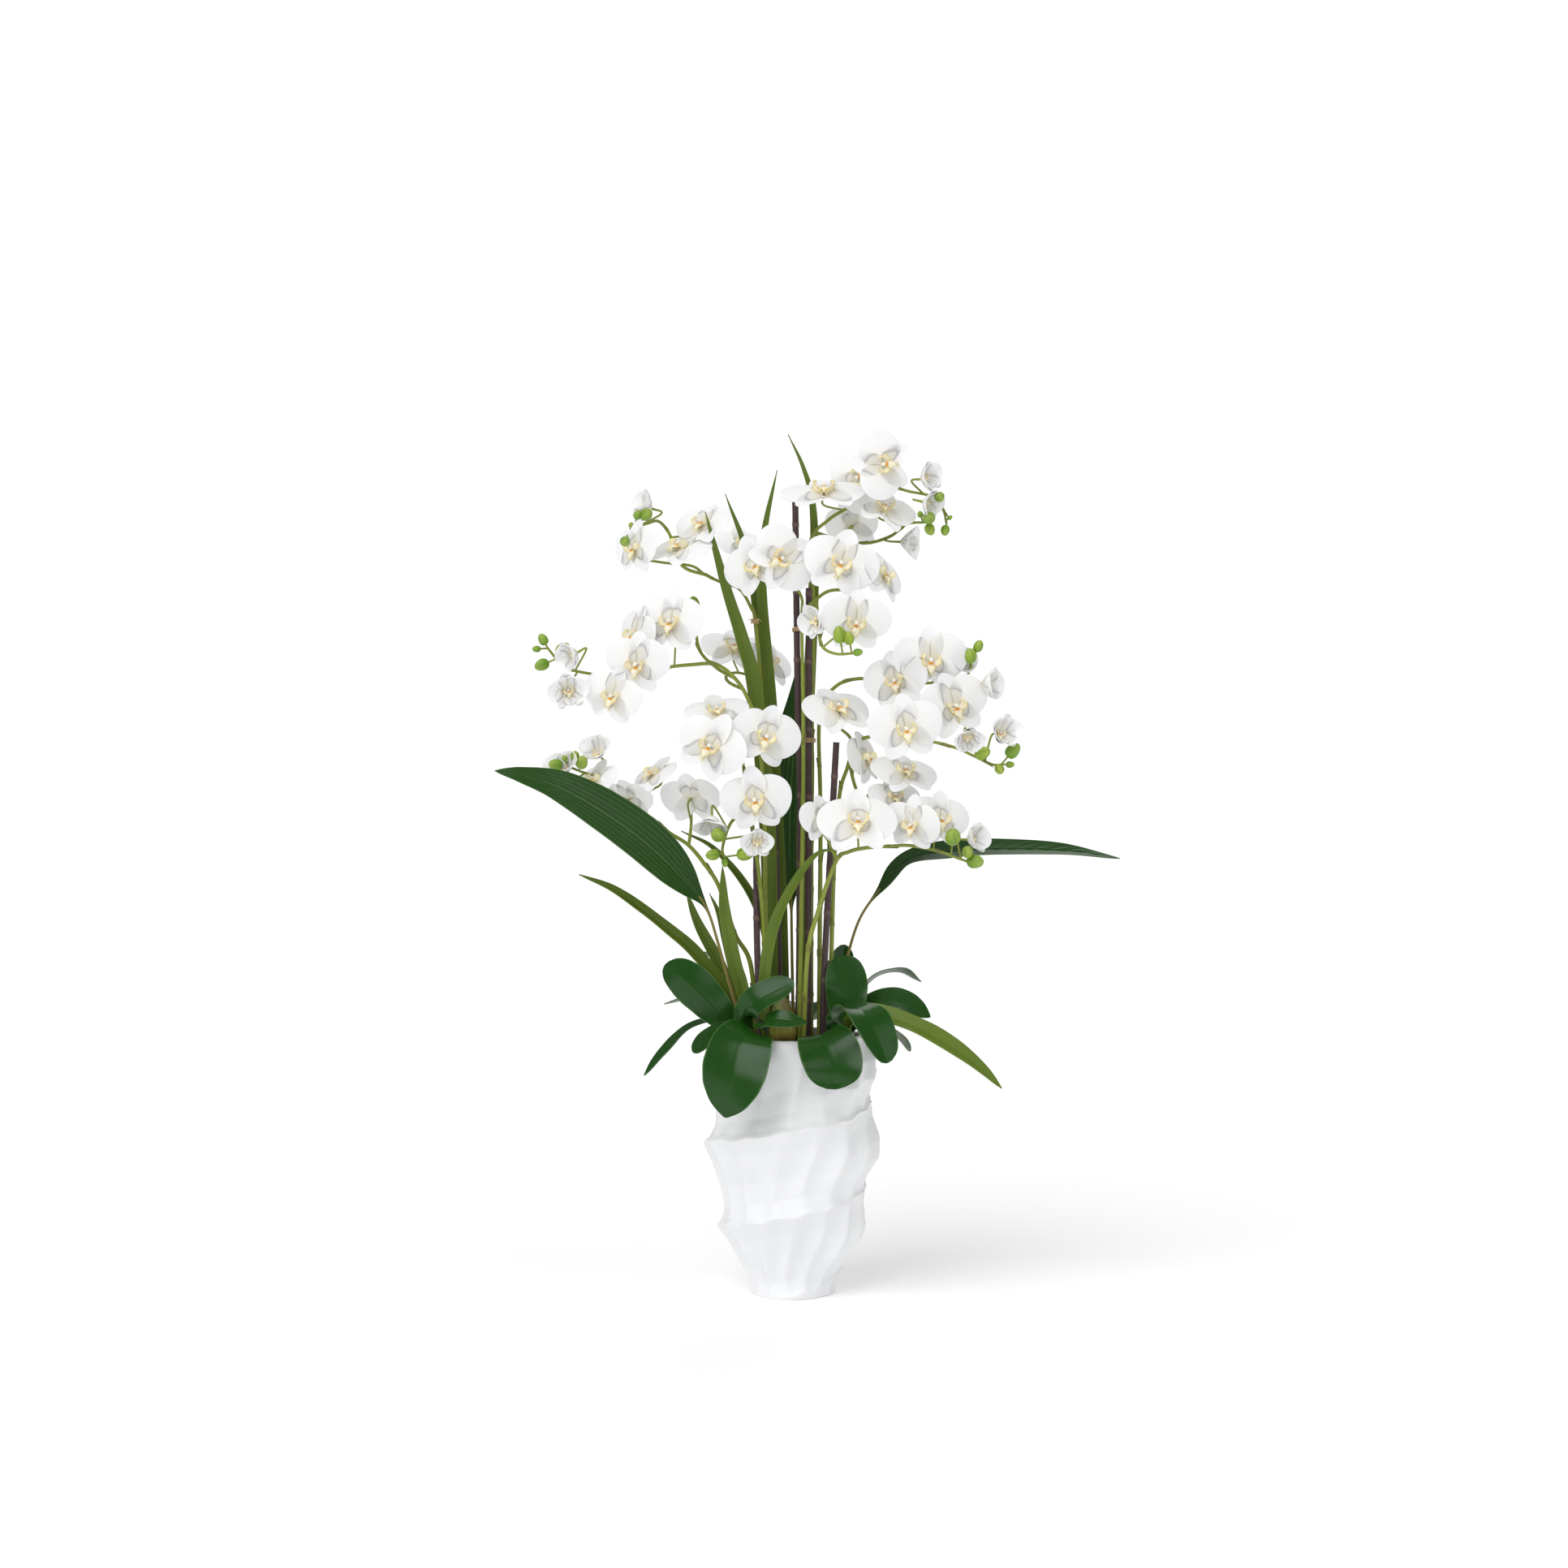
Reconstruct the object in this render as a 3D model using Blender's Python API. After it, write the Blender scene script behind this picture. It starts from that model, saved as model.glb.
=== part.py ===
"""Potted orchid arrangement: sculpted pot, filling, flower spikes, canes, ties and leaves.

Metres, +Z up, front toward -Y, origin at the middle of the pot's underside.
Positions of everything planted are given from the middle of the soil surface.
"""
import math

import bmesh
import bpy
import numpy as np
from mathutils import Vector
from mathutils.bvhtree import BVHTree

# ---- driving dimensions -------------------------------------------------------------
POT_HEIGHT = 0.323
POT_MOUTH_R = 0.090
POT_BELLY_R = 0.113
POT_FOOT_R = 0.056
POT_WALL = 0.007
POT_FLOOR = 0.016
POT_FLUTES = 16
FLUTE_DEPTH = 0.0060
LEDGE_PITCH = 0.105
LEDGE_START = 0.188          # height of the ledge on the left of the pot
SOIL_BELOW_RIM = 0.012
FIT_GAP = 0.0004             # space left between pieces that touch
PLANT_SCALE = 1.0            # of everything above the soil
PEG_DEPTH = 0.014
STEM_R = 0.0031
PEDICEL_R = 0.0013
CANE_R = 0.0040
PETAL_THICKNESS = 0.0014
LEAF_THICKNESS = 0.0018
BLOOM_SCALE = 1.0
BULB_R = 0.018
BULB_HEIGHT = 0.062
TIE_R = 0.0009

SOIL_TOP = POT_HEIGHT - SOIL_BELOW_RIM

# ---- layout: metres from the soil centre --------------------------------------------
# Blooms: x, y, z, turn to the right, tilt up, roll clockwise (degrees), span in mm, openness.
# Buds: x, y, z, radius in mm.
SPIKES = {
    "spike_crown_front": dict(
        arms=[
            [(0.008, -0.012, 0.0), (0.011, -0.014, 0.134), (0.014, -0.014, 0.363), (0.012, -0.013, 0.525),
             (0.012, -0.016, 0.558), (-0.001, -0.028, 0.577), (-0.020, -0.028, 0.588), (-0.036, -0.022, 0.589)],
            [(0.012, -0.013, 0.540), (0.030, -0.030, 0.556), (0.046, -0.045, 0.565), (0.069, -0.045, 0.567),
             (0.090, -0.035, 0.572), (0.104, -0.030, 0.578)],
            [(0.030, -0.030, 0.556), (0.032, -0.046, 0.526), (0.036, -0.076, 0.496), (0.052, -0.106, 0.484),
             (0.076, -0.118, 0.484)]],
        blooms=[(-0.013, -0.075, 0.602, 5, 0, 60, 90, 1.0), (-0.046, -0.045, 0.596, -20, 5, -25, 88, 1.0),
                (0.059, -0.080, 0.596, 5, 0, 15, 97, 1.0), (0.078, -0.082, 0.524, 0, -15, 5, 88, 1.0),
                (0.030, -0.062, 0.528, -50, -15, -20, 46, 0.6), (0.112, -0.050, 0.584, 55, 20, 20, 78, 0.9)],
        buds=[(0.057, -0.120, 0.506, 9.0), (0.068, -0.122, 0.502, 7.0), (0.079, -0.118, 0.485, 5.0)]),
    "spike_crown_right": dict(
        arms=[
            [(0.024, 0.010, 0.0), (0.024, 0.009, 0.138), (0.025, 0.010, 0.393), (0.027, 0.010, 0.557),
             (0.023, 0.012, 0.631), (0.046, 0.010, 0.659), (0.070, 0.000, 0.673), (0.095, -0.012, 0.688),
             (0.121, -0.020, 0.697), (0.146, -0.022, 0.691), (0.176, -0.030, 0.683), (0.188, -0.030, 0.667),
             (0.192, -0.030, 0.650)],
            [(0.030, 0.012, 0.642), (0.064, 0.024, 0.634), (0.096, 0.020, 0.631), (0.124, 0.005, 0.638),
             (0.144, -0.015, 0.651), (0.168, -0.028, 0.652)]],
        blooms=[(0.111, -0.060, 0.719, 15, 0, -90, 88, 1.0), (0.083, -0.012, 0.708, -15, 5, -110, 88, 1.0),
                (0.160, -0.050, 0.703, 50, 5, -20, 46, 0.45), (0.163, -0.045, 0.675, 50, -15, 0, 42, 0.4),
                (0.039, -0.040, 0.687, 0, 62, 0, 108, 0.95), (0.114, -0.030, 0.669, 25, 45, 25, 86, 0.9),
                (0.077, 0.045, 0.655, 150, 25, 10, 80, 0.95), (0.137, -0.002, 0.630, 70, -5, 90, 46, 0.3)],
        buds=[(0.182, -0.050, 0.681, 7.0), (0.169, -0.050, 0.655, 8.5), (0.171, -0.036, 0.642, 7.0),
              (0.159, -0.036, 0.661, 4.0), (0.138, 0.000, 0.675, 5.0), (0.196, -0.035, 0.657, 3.0),
              (0.190, -0.035, 0.641, 6.0)]),
    "spike_crown_left": dict(
        arms=[
            [(-0.026, 0.026, 0.0), (-0.029, 0.030, 0.136), (-0.031, 0.030, 0.291), (-0.037, 0.029, 0.415),
             (-0.046, 0.024, 0.529), (-0.052, 0.022, 0.549), (-0.066, 0.018, 0.572), (-0.088, 0.014, 0.580),
             (-0.110, 0.008, 0.590), (-0.126, 0.000, 0.600), (-0.159, -0.010, 0.603), (-0.181, -0.012, 0.606)],
            [(-0.110, 0.008, 0.590), (-0.134, 0.012, 0.598), (-0.149, 0.010, 0.615), (-0.154, 0.010, 0.640),
             (-0.168, 0.010, 0.657), (-0.182, 0.005, 0.654), (-0.196, -0.004, 0.648), (-0.206, -0.015, 0.638)],
            [(-0.066, 0.018, 0.572), (-0.080, 0.040, 0.590), (-0.080, 0.064, 0.610)]],
        blooms=[(-0.177, -0.005, 0.672, -60, 20, 10, 46, 0.35), (-0.195, -0.035, 0.619, -45, 0, 5, 78, 0.95),
                (-0.112, -0.010, 0.651, -35, 35, 0, 82, 0.95), (-0.140, -0.020, 0.620, -35, 55, 10, 88, 0.95),
                (-0.064, 0.086, 0.636, 20, 40, 0, 72, 0.9)],
        buds=[(-0.192, -0.030, 0.661, 6.0), (-0.181, -0.034, 0.661, 8.0), (-0.201, -0.022, 0.649, 3.5),
              (-0.205, -0.075, 0.623, 7.0)]),
    "spike_middle_left": dict(
        arms=[
            [(-0.030, 0.004, 0.0), (-0.033, 0.002, 0.138), (-0.035, 0.000, 0.291), (-0.043, 0.000, 0.393),
             (-0.058, 0.000, 0.438), (-0.076, -0.004, 0.463), (-0.097, -0.012, 0.476), (-0.128, -0.015, 0.475),
             (-0.154, -0.020, 0.472), (-0.178, -0.020, 0.467), (-0.206, -0.020, 0.458), (-0.229, -0.020, 0.460),
             (-0.254, -0.018, 0.464), (-0.280, -0.015, 0.470), (-0.293, -0.010, 0.480), (-0.306, -0.010, 0.496)],
            [(-0.072, -0.003, 0.458), (-0.096, 0.006, 0.473), (-0.117, 0.010, 0.496), (-0.123, 0.010, 0.540)],
            [(-0.062, 0.000, 0.444), (-0.080, 0.028, 0.455), (-0.084, 0.062, 0.465), (-0.070, 0.088, 0.470),
             (-0.045, 0.096, 0.464)]],
        blooms=[(-0.150, -0.045, 0.526, -20, 8, 5, 92, 1.0), (-0.195, -0.030, 0.511, -55, 5, 10, 84, 0.9),
                (-0.191, -0.060, 0.474, -18, -12, 8, 88, 0.95), (-0.222, -0.050, 0.435, -20, -5, 15, 82, 0.9),
                (-0.278, -0.035, 0.443, 5, -10, -10, 52, 0.5), (-0.268, -0.034, 0.489, -50, -20, -20, 46, 0.3),
                (-0.075, 0.104, 0.502, 10, 50, 10, 92, 0.95), (-0.030, 0.108, 0.484, 40, 30, 15, 78, 0.9)],
        buds=[(-0.312, -0.010, 0.507, 6.5), (-0.320, -0.012, 0.495, 4.5), (-0.313, -0.014, 0.475, 8.0),
              (-0.286, -0.020, 0.494, 9.0), (-0.124, 0.010, 0.553, 8.0)]),
    "spike_centre_left": dict(
        arms=[
            [(-0.036, -0.008, 0.0), (-0.035, -0.018, 0.130), (-0.041, -0.030, 0.210), (-0.051, -0.026, 0.281),
             (-0.059, -0.024, 0.332), (-0.065, -0.022, 0.378), (-0.077, -0.020, 0.400)],
            [(-0.051, -0.026, 0.281), (-0.069, -0.036, 0.284), (-0.079, -0.050, 0.272), (-0.086, -0.058, 0.247),
             (-0.084, -0.058, 0.236)]],
        blooms=[(-0.100, -0.080, 0.372, -12, 3, 30, 94, 1.0), (-0.033, -0.070, 0.384, 10, 0, 15, 90, 1.0),
                (-0.093, -0.045, 0.414, -5, 55, -15, 84, 0.9), (-0.045, -0.080, 0.307, -8, -5, -6, 92, 1.0),
                (-0.043, -0.075, 0.258, 0, -20, 0, 44, 0.5), (-0.099, -0.065, 0.286, -10, -55, 0, 48, 0.45)],
        buds=[(-0.091, -0.080, 0.264, 9.5), (-0.098, -0.065, 0.239, 7.5), (-0.083, -0.060, 0.229, 4.5),
              (-0.058, -0.068, 0.240, 9.0)]),
    "spike_lower_left": dict(
        arms=[
            [(-0.044, 0.005, 0.0), (-0.052, 0.001, 0.098), (-0.072, 0.000, 0.138), (-0.092, 0.000, 0.197),
             (-0.112, -0.002, 0.228), (-0.131, -0.005, 0.250), (-0.154, -0.008, 0.265), (-0.177, -0.010, 0.284),
             (-0.195, -0.012, 0.293), (-0.219, -0.015, 0.317), (-0.244, -0.018, 0.334), (-0.265, -0.020, 0.342),
             (-0.280, -0.020, 0.348)],
            [(-0.129, -0.005, 0.249), (-0.127, -0.008, 0.270), (-0.126, -0.012, 0.288)]],
        blooms=[(-0.126, -0.025, 0.308, 165, 30, 0, 80, 0.9), (-0.173, -0.020, 0.337, -50, 50, 0, 76, 0.9),
                (-0.204, -0.020, 0.307, 160, 35, 0, 70, 0.9), (-0.245, -0.028, 0.330, -45, 35, 0, 72, 0.9),
                (-0.241, -0.020, 0.362, -20, 35, 0, 46, 0.3), (-0.282, -0.030, 0.340, -30, 40, 0, 52, 0.5)],
        buds=[(-0.294, -0.035, 0.350, 8.0), (-0.282, -0.040, 0.358, 4.0), (-0.270, -0.035, 0.361, 6.0),
              (-0.261, -0.040, 0.353, 8.5)]),
    "spike_upper_right": dict(
        arms=[
            [(0.034, 0.014, 0.0), (0.035, 0.014, 0.138), (0.036, 0.018, 0.291), (0.034, 0.022, 0.394),
             (0.040, 0.022, 0.430), (0.056, 0.020, 0.450), (0.076, 0.014, 0.458), (0.106, 0.002, 0.458),
             (0.136, -0.008, 0.450), (0.166, -0.015, 0.452), (0.196, -0.020, 0.454), (0.218, -0.025, 0.462),
             (0.222, -0.032, 0.475)]],
        blooms=[(0.170, -0.050, 0.480, 8, -10, 0, 96, 0.95), (0.128, -0.050, 0.454, -20, -5, -10, 84, 0.9),
                (0.200, -0.045, 0.423, 22, -5, -20, 96, 1.0), (0.236, -0.035, 0.450, 60, 0, 10, 50, 0.3),
                (0.205, -0.020, 0.476, 30, 20, 0, 46, 0.35)],
        buds=[(0.221, -0.040, 0.485, 8.5), (0.231, -0.038, 0.497, 6.5)]),
    "spike_middle_right": dict(
        arms=[
            [(0.047, -0.004, 0.0), (0.052, -0.008, 0.210), (0.059, -0.008, 0.309), (0.069, -0.010, 0.346),
             (0.078, -0.012, 0.373), (0.089, -0.015, 0.383), (0.113, -0.022, 0.386), (0.145, -0.035, 0.383),
             (0.175, -0.045, 0.378), (0.204, -0.052, 0.370), (0.225, -0.055, 0.360), (0.247, -0.055, 0.350),
             (0.258, -0.052, 0.350)],
            [(0.078, -0.012, 0.373), (0.071, -0.014, 0.386), (0.059, -0.016, 0.396)],
            [(0.072, -0.010, 0.355), (0.078, 0.000, 0.327), (0.088, 0.005, 0.304), (0.102, 0.002, 0.318),
             (0.122, -0.004, 0.322)]],
        blooms=[(0.138, -0.092, 0.394, 3, -8, -12, 94, 1.0), (0.056, -0.035, 0.418, 20, 45, -15, 94, 0.9),
                (0.213, -0.092, 0.386, 8, -30, 0, 44, 0.4), (0.254, -0.062, 0.388, 30, 10, 10, 50, 0.45),
                (0.091, -0.020, 0.358, 60, 15, -10, 80, 0.9), (0.140, -0.030, 0.340, 20, 50, 5, 88, 0.9),
                (0.127, -0.030, 0.309, 20, 35, 0, 70, 0.9)],
        buds=[(0.234, -0.064, 0.364, 9.0), (0.272, -0.057, 0.367, 9.0), (0.255, -0.064, 0.344, 6.5),
              (0.269, -0.052, 0.350, 4.5)]),
    "spike_lower_right": dict(
        arms=[
            [(0.014, -0.028, 0.0), (0.019, -0.040, 0.114), (0.032, -0.045, 0.168), (0.054, -0.048, 0.230),
             (0.070, -0.046, 0.242), (0.092, -0.044, 0.247), (0.122, -0.044, 0.249), (0.142, -0.046, 0.250),
             (0.164, -0.052, 0.247), (0.184, -0.060, 0.242), (0.206, -0.066, 0.234), (0.218, -0.070, 0.230)],
            [(0.056, -0.048, 0.232), (0.048, -0.046, 0.247), (0.042, -0.046, 0.262)]],
        blooms=[(0.080, -0.085, 0.279, 0, 30, 0, 100, 1.0), (0.036, -0.066, 0.282, 35, 12, 0, 68, 0.9),
                (0.148, -0.070, 0.277, -35, -12, 10, 80, 0.9), (0.182, -0.060, 0.282, 18, 12, 5, 82, 0.9),
                (0.217, -0.062, 0.258, 50, 10, 20, 46, 0.4)],
        buds=[(0.195, -0.098, 0.262, 10.5), (0.214, -0.085, 0.243, 7.5), (0.224, -0.078, 0.231, 9.5)]),
}

CANES = {
    "cane_tall": [(0.008, 0.006, 0.0), (0.010, 0.003, 0.291), (0.007, 0.002, 0.434), (0.004, 0.002, 0.684)],
    "cane_second": [(0.020, -0.004, 0.0), (0.021, -0.003, 0.300), (0.021, -0.003, 0.572)],
    "cane_right": [(0.038, -0.016, 0.0), (0.040, -0.018, 0.089), (0.048, -0.024, 0.248), (0.055, -0.026, 0.378)],
    "cane_left": [(-0.040, -0.022, 0.0), (-0.044, -0.019, 0.135), (-0.045, -0.018, 0.241)],
    "cane_back": [(-0.014, 0.018, 0.0), (-0.019, 0.021, 0.189), (-0.025, 0.021, 0.330)],
}
# Ties: centre and radius of the two members each one goes round.
TIES = {
    "tie_upper_left": ((0.0056, 0.002, 0.520), CANE_R, (0.0120, -0.0130, 0.520), STEM_R * 1.1),
    "tie_upper_right": ((0.021, -0.003, 0.543), CANE_R, (0.0268, 0.010, 0.543), STEM_R),
    "tie_lower": ((0.021, -0.003, 0.381), CANE_R, (0.025, 0.010, 0.381), STEM_R),
    "tie_outer_left": ((-0.0471, 0.0237, 0.532), STEM_R * 1.15, (-0.0471, 0.0237, 0.532), STEM_R * 1.15),
}

# Leaves: spine points, half width, way the upper face looks, trough depth, waist (0 none, 1 long stalk).
UP_FRONT = (0.0, -0.7, 0.7)
FRONT = (0.0, -1.0, 0.15)
STRAPS = {
    "strap_tall_left": ([(-0.022, 0.013, 0.0), (-0.027, 0.013, 0.138), (-0.032, 0.013, 0.291), (-0.047, 0.014, 0.445),
                         (-0.062, 0.008, 0.506), (-0.084, -0.012, 0.576), (-0.108, -0.034, 0.664)], 0.0105, FRONT),
    "strap_tall_back": ([(-0.016, 0.044, 0.0), (-0.018, 0.052, 0.136), (-0.023, 0.052, 0.291), (-0.032, 0.052, 0.436),
                         (-0.053, 0.050, 0.601), (-0.085, 0.044, 0.696)], 0.0085, FRONT),
    "strap_centre_left": ([(-0.006, 0.036, 0.0), (-0.012, 0.040, 0.136), (-0.020, 0.040, 0.291), (-0.028, 0.042, 0.435),
                           (-0.038, 0.042, 0.559), (-0.036, 0.038, 0.641), (-0.019, 0.028, 0.724)], 0.0085, FRONT),
    "strap_centre": ([(0.010, 0.028, 0.0), (0.012, 0.034, 0.136), (0.014, 0.034, 0.291), (0.021, 0.034, 0.435),
                      (0.028, 0.034, 0.600), (0.026, 0.030, 0.682), (0.014, 0.026, 0.728), (-0.005, 0.018, 0.768)],
                     0.0080, FRONT),
    "strap_front_arch": ([(-0.034, -0.034, 0.0), (-0.034, -0.044, 0.090), (-0.022, -0.050, 0.152), (0.004, -0.060, 0.206),
                          (0.030, -0.072, 0.240), (0.052, -0.082, 0.246)], 0.0075, UP_FRONT),
    "strap_left_arch": ([(-0.048, 0.015, 0.0), (-0.076, 0.014, 0.058), (-0.108, 0.010, 0.097), (-0.130, 0.010, 0.121),
                         (-0.156, 0.005, 0.143), (-0.188, -0.005, 0.169), (-0.226, -0.015, 0.196),
                         (-0.266, -0.020, 0.213)], 0.0090, UP_FRONT),
    "strap_left_short": ([(-0.043, 0.025, 0.0), (-0.062, 0.026, 0.040), (-0.080, 0.026, 0.071), (-0.098, 0.024, 0.110),
                          (-0.120, 0.022, 0.152), (-0.134, 0.018, 0.191)], 0.0080, FRONT),
    "strap_left_upright": ([(-0.050, -0.010, 0.0), (-0.054, -0.012, 0.030), (-0.064, -0.013, 0.076), (-0.072, -0.015, 0.102),
                            (-0.084, -0.020, 0.167), (-0.087, -0.022, 0.224)], 0.0088, FRONT),
    "strap_left_thin": ([(-0.038, 0.036, 0.0), (-0.060, 0.036, 0.042), (-0.074, 0.036, 0.085), (-0.092, 0.036, 0.157),
                         (-0.105, 0.036, 0.187)], 0.0055, FRONT),
    "strap_back_arch": ([(-0.026, 0.056, 0.0), (-0.030, 0.062, 0.114), (-0.052, 0.060, 0.183), (-0.098, 0.052, 0.242),
                         (-0.141, 0.044, 0.266)], 0.0060, UP_FRONT),
    "strap_right_low": ([(0.061, -0.030, 0.0), (0.070, -0.040, 0.030), (0.090, -0.050, 0.044), (0.119, -0.060, 0.040),
                         (0.162, -0.070, 0.024), (0.201, -0.075, 0.001), (0.234, -0.080, -0.024),
                         (0.256, -0.084, -0.046)], 0.0130, UP_FRONT),
}
BROAD_LEAVES = {
    "broad_leaf_left": ([(-0.059, -0.009, 0.0), (-0.066, -0.011, 0.035), (-0.079, -0.015, 0.078), (-0.093, -0.020, 0.129),
                         (-0.106, -0.030, 0.170), (-0.127, -0.045, 0.200), (-0.172, -0.070, 0.248),
                         (-0.223, -0.095, 0.288), (-0.280, -0.118, 0.322), (-0.327, -0.128, 0.337),
                         (-0.358, -0.130, 0.342)], 0.031, (0.25, -0.85, 0.45)),
    "broad_leaf_right": ([(0.048, 0.015, 0.0), (0.056, 0.018, 0.050), (0.071, 0.022, 0.111), (0.087, 0.030, 0.157),
                          (0.113, 0.035, 0.193), (0.148, 0.030, 0.231), (0.208, 0.010, 0.242), (0.277, -0.020, 0.245),
                          (0.345, -0.040, 0.243), (0.405, -0.050, 0.234)], 0.026, (0.05, -0.40, 0.92)),
    "broad_leaf_back": ([(0.002, 0.050, 0.0), (0.000, 0.068, 0.110), (-0.001, 0.076, 0.186), (-0.003, 0.080, 0.270),
                         (0.002, 0.084, 0.364), (0.010, 0.084, 0.437), (0.012, 0.078, 0.488)], 0.030, FRONT),
}
BASE_LEAVES = {
    "leaf_front_left": ([(-0.056, -0.026, 0.0), (-0.066, -0.036, 0.016), (-0.084, -0.046, 0.036), (-0.112, -0.052, 0.066),
                         (-0.136, -0.054, 0.088), (-0.158, -0.052, 0.102)], 0.026, (-0.15, -0.85, 0.5)),
    "leaf_folded": ([(-0.044, -0.036, 0.0), (-0.052, -0.050, 0.018), (-0.058, -0.066, 0.040), (-0.046, -0.078, 0.060),
                     (-0.022, -0.082, 0.074), (0.002, -0.080, 0.084)], 0.019, (0.2, -0.75, 0.65)),
    "leaf_over_rim_left": ([(-0.034, -0.046, 0.0), (-0.040, -0.066, 0.016), (-0.048, -0.090, 0.024), (-0.059, -0.113, 0.015),
                            (-0.069, -0.126, -0.018), (-0.076, -0.128, -0.050), (-0.081, -0.124, -0.076)], 0.040,
                           UP_FRONT),
    "leaf_low_left": ([(-0.053, -0.038, 0.0), (-0.064, -0.046, 0.016), (-0.082, -0.058, 0.024), (-0.102, -0.074, 0.016),
                       (-0.120, -0.090, -0.002)], 0.014, (-0.2, -0.6, 0.8)),
    "leaf_across_front": ([(-0.022, -0.050, 0.0), (-0.030, -0.066, 0.018), (-0.036, -0.084, 0.034), (-0.020, -0.096, 0.040),
                           (0.000, -0.100, 0.038), (0.018, -0.096, 0.036)], 0.013, UP_FRONT),
    "leaf_over_rim_right": ([(0.026, -0.045, 0.0), (0.030, -0.066, 0.014), (0.035, -0.090, 0.021), (0.042, -0.111, 0.008),
                             (0.050, -0.122, -0.016), (0.053, -0.122, -0.042)], 0.038, UP_FRONT),
    "leaf_right_front": ([(0.044, -0.040, 0.0), (0.054, -0.054, 0.036), (0.070, -0.078, 0.054), (0.090, -0.106, 0.046),
                          (0.108, -0.124, 0.010), (0.114, -0.128, -0.010)], 0.028, (0.35, -0.6, 0.7)),
    "leaf_right_upright": ([(0.054, -0.020, 0.0), (0.060, -0.024, 0.024), (0.067, -0.026, 0.056), (0.066, -0.024, 0.086),
                            (0.056, -0.020, 0.110)], 0.027, (0.1, -1.0, 0.1)),
    "leaf_right": ([(0.062, -0.008, 0.0), (0.078, -0.008, 0.030), (0.104, -0.014, 0.052), (0.136, -0.022, 0.054),
                    (0.172, -0.030, 0.036)], 0.022, (0.1, -0.6, 0.8)),
    "leaf_right_thin": ([(0.055, 0.027, 0.0), (0.076, 0.040, 0.046), (0.106, 0.052, 0.080), (0.140, 0.062, 0.086),
                         (0.166, 0.066, 0.072)], 0.015, (0.2, 0.3, 0.9)),
    "leaf_right_under": ([(0.060, 0.004, 0.0), (0.080, 0.012, 0.026), (0.108, 0.022, 0.024), (0.136, 0.030, 0.004),
                          (0.150, 0.034, -0.014)], 0.016, (0.3, 0.2, 0.9)),
    "leaf_left_small": ([(-0.058, 0.024, 0.0), (-0.086, 0.038, 0.036), (-0.124, 0.050, 0.052), (-0.164, 0.060, 0.044)],
                        0.011, (-0.1, 0.2, 0.9)),
    "leaf_left_low": ([(-0.062, 0.002, 0.0), (-0.090, -0.004, 0.028), (-0.128, -0.014, 0.022), (-0.160, -0.026, -0.008),
                       (-0.184, -0.036, -0.036)], 0.015, (-0.4, -0.2, 0.9)),
    "leaf_right_behind": ([(0.040, 0.037, 0.0), (0.048, 0.050, 0.040), (0.060, 0.060, 0.082), (0.068, 0.062, 0.120)],
                          0.018, (0.2, -0.9, 0.2)),
    "leaf_left_behind": ([(-0.034, 0.047, 0.0), (-0.064, 0.066, 0.058), (-0.098, 0.080, 0.100), (-0.128, 0.088, 0.108)],
                         0.012, (-0.2, 0.3, 0.9)),
    "leaf_back": ([(0.012, 0.058, 0.0), (0.016, 0.082, 0.030), (0.020, 0.118, 0.040), (0.024, 0.152, 0.014)],
                  0.027, (0.0, 0.5, 0.85)),
    "leaf_back_left": ([(-0.040, 0.060, 0.0), (-0.054, 0.082, 0.030), (-0.078, 0.112, 0.042), (-0.100, 0.142, 0.020)],
                       0.024, (-0.3, 0.4, 0.85)),
    "leaf_back_right": ([(0.050, 0.050, 0.0), (0.068, 0.072, 0.032), (0.096, 0.098, 0.046), (0.126, 0.122, 0.026)],
                        0.025, (0.3, 0.4, 0.85)),
}
BULB_AT = (-0.013, -0.026)
LEAF_PEG_R = 0.0024
ROOT_TAPER = 0.8            # a leaf narrows to its root
LEAF_RISE = 0.001           # a leaf that would touch the pot is raised in steps of this
LEAF_RISES = 60

# ---- small helpers ------------------------------------------------------------------
MM = 0.001
Z_AXIS = Vector((0.0, 0.0, 1.0))


def material(name, colour, roughness, metallic=0.0):
    mat = bpy.data.materials.new(name)
    mat.use_nodes = True
    shader = mat.node_tree.nodes["Principled BSDF"]
    shader.inputs["Base Color"].default_value = (*colour, 1.0)
    shader.inputs["Roughness"].default_value = roughness
    shader.inputs["Metallic"].default_value = metallic
    return mat


def add_object(name, shells, mat, smooth=True):
    """One object from a list of closed shells, each (verts, faces)."""
    verts, faces = [], []
    for shell_verts, shell_faces in shells:
        start = len(verts)
        verts.extend(shell_verts)
        faces.extend([tuple(start + i for i in face) for face in shell_faces])
    mesh = bpy.data.meshes.new(name)
    mesh.from_pydata([tuple(v) for v in verts], [], faces)
    bm = bmesh.new()
    bm.from_mesh(mesh)
    bmesh.ops.recalc_face_normals(bm, faces=bm.faces)
    bm.to_mesh(mesh)
    bm.free()
    mesh.update()
    for polygon in mesh.polygons:
        polygon.use_smooth = smooth
    mesh.materials.append(mat)
    obj = bpy.data.objects.new(name, mesh)
    bpy.context.scene.collection.objects.link(obj)
    return obj


def cut_away(obj, tool):
    tool.hide_render = True
    tool.display_type = "WIRE"
    mod = obj.modifiers.new(tool.name, "BOOLEAN")
    mod.operation = "DIFFERENCE"
    mod.solver = "EXACT"
    mod.object = tool


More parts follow.
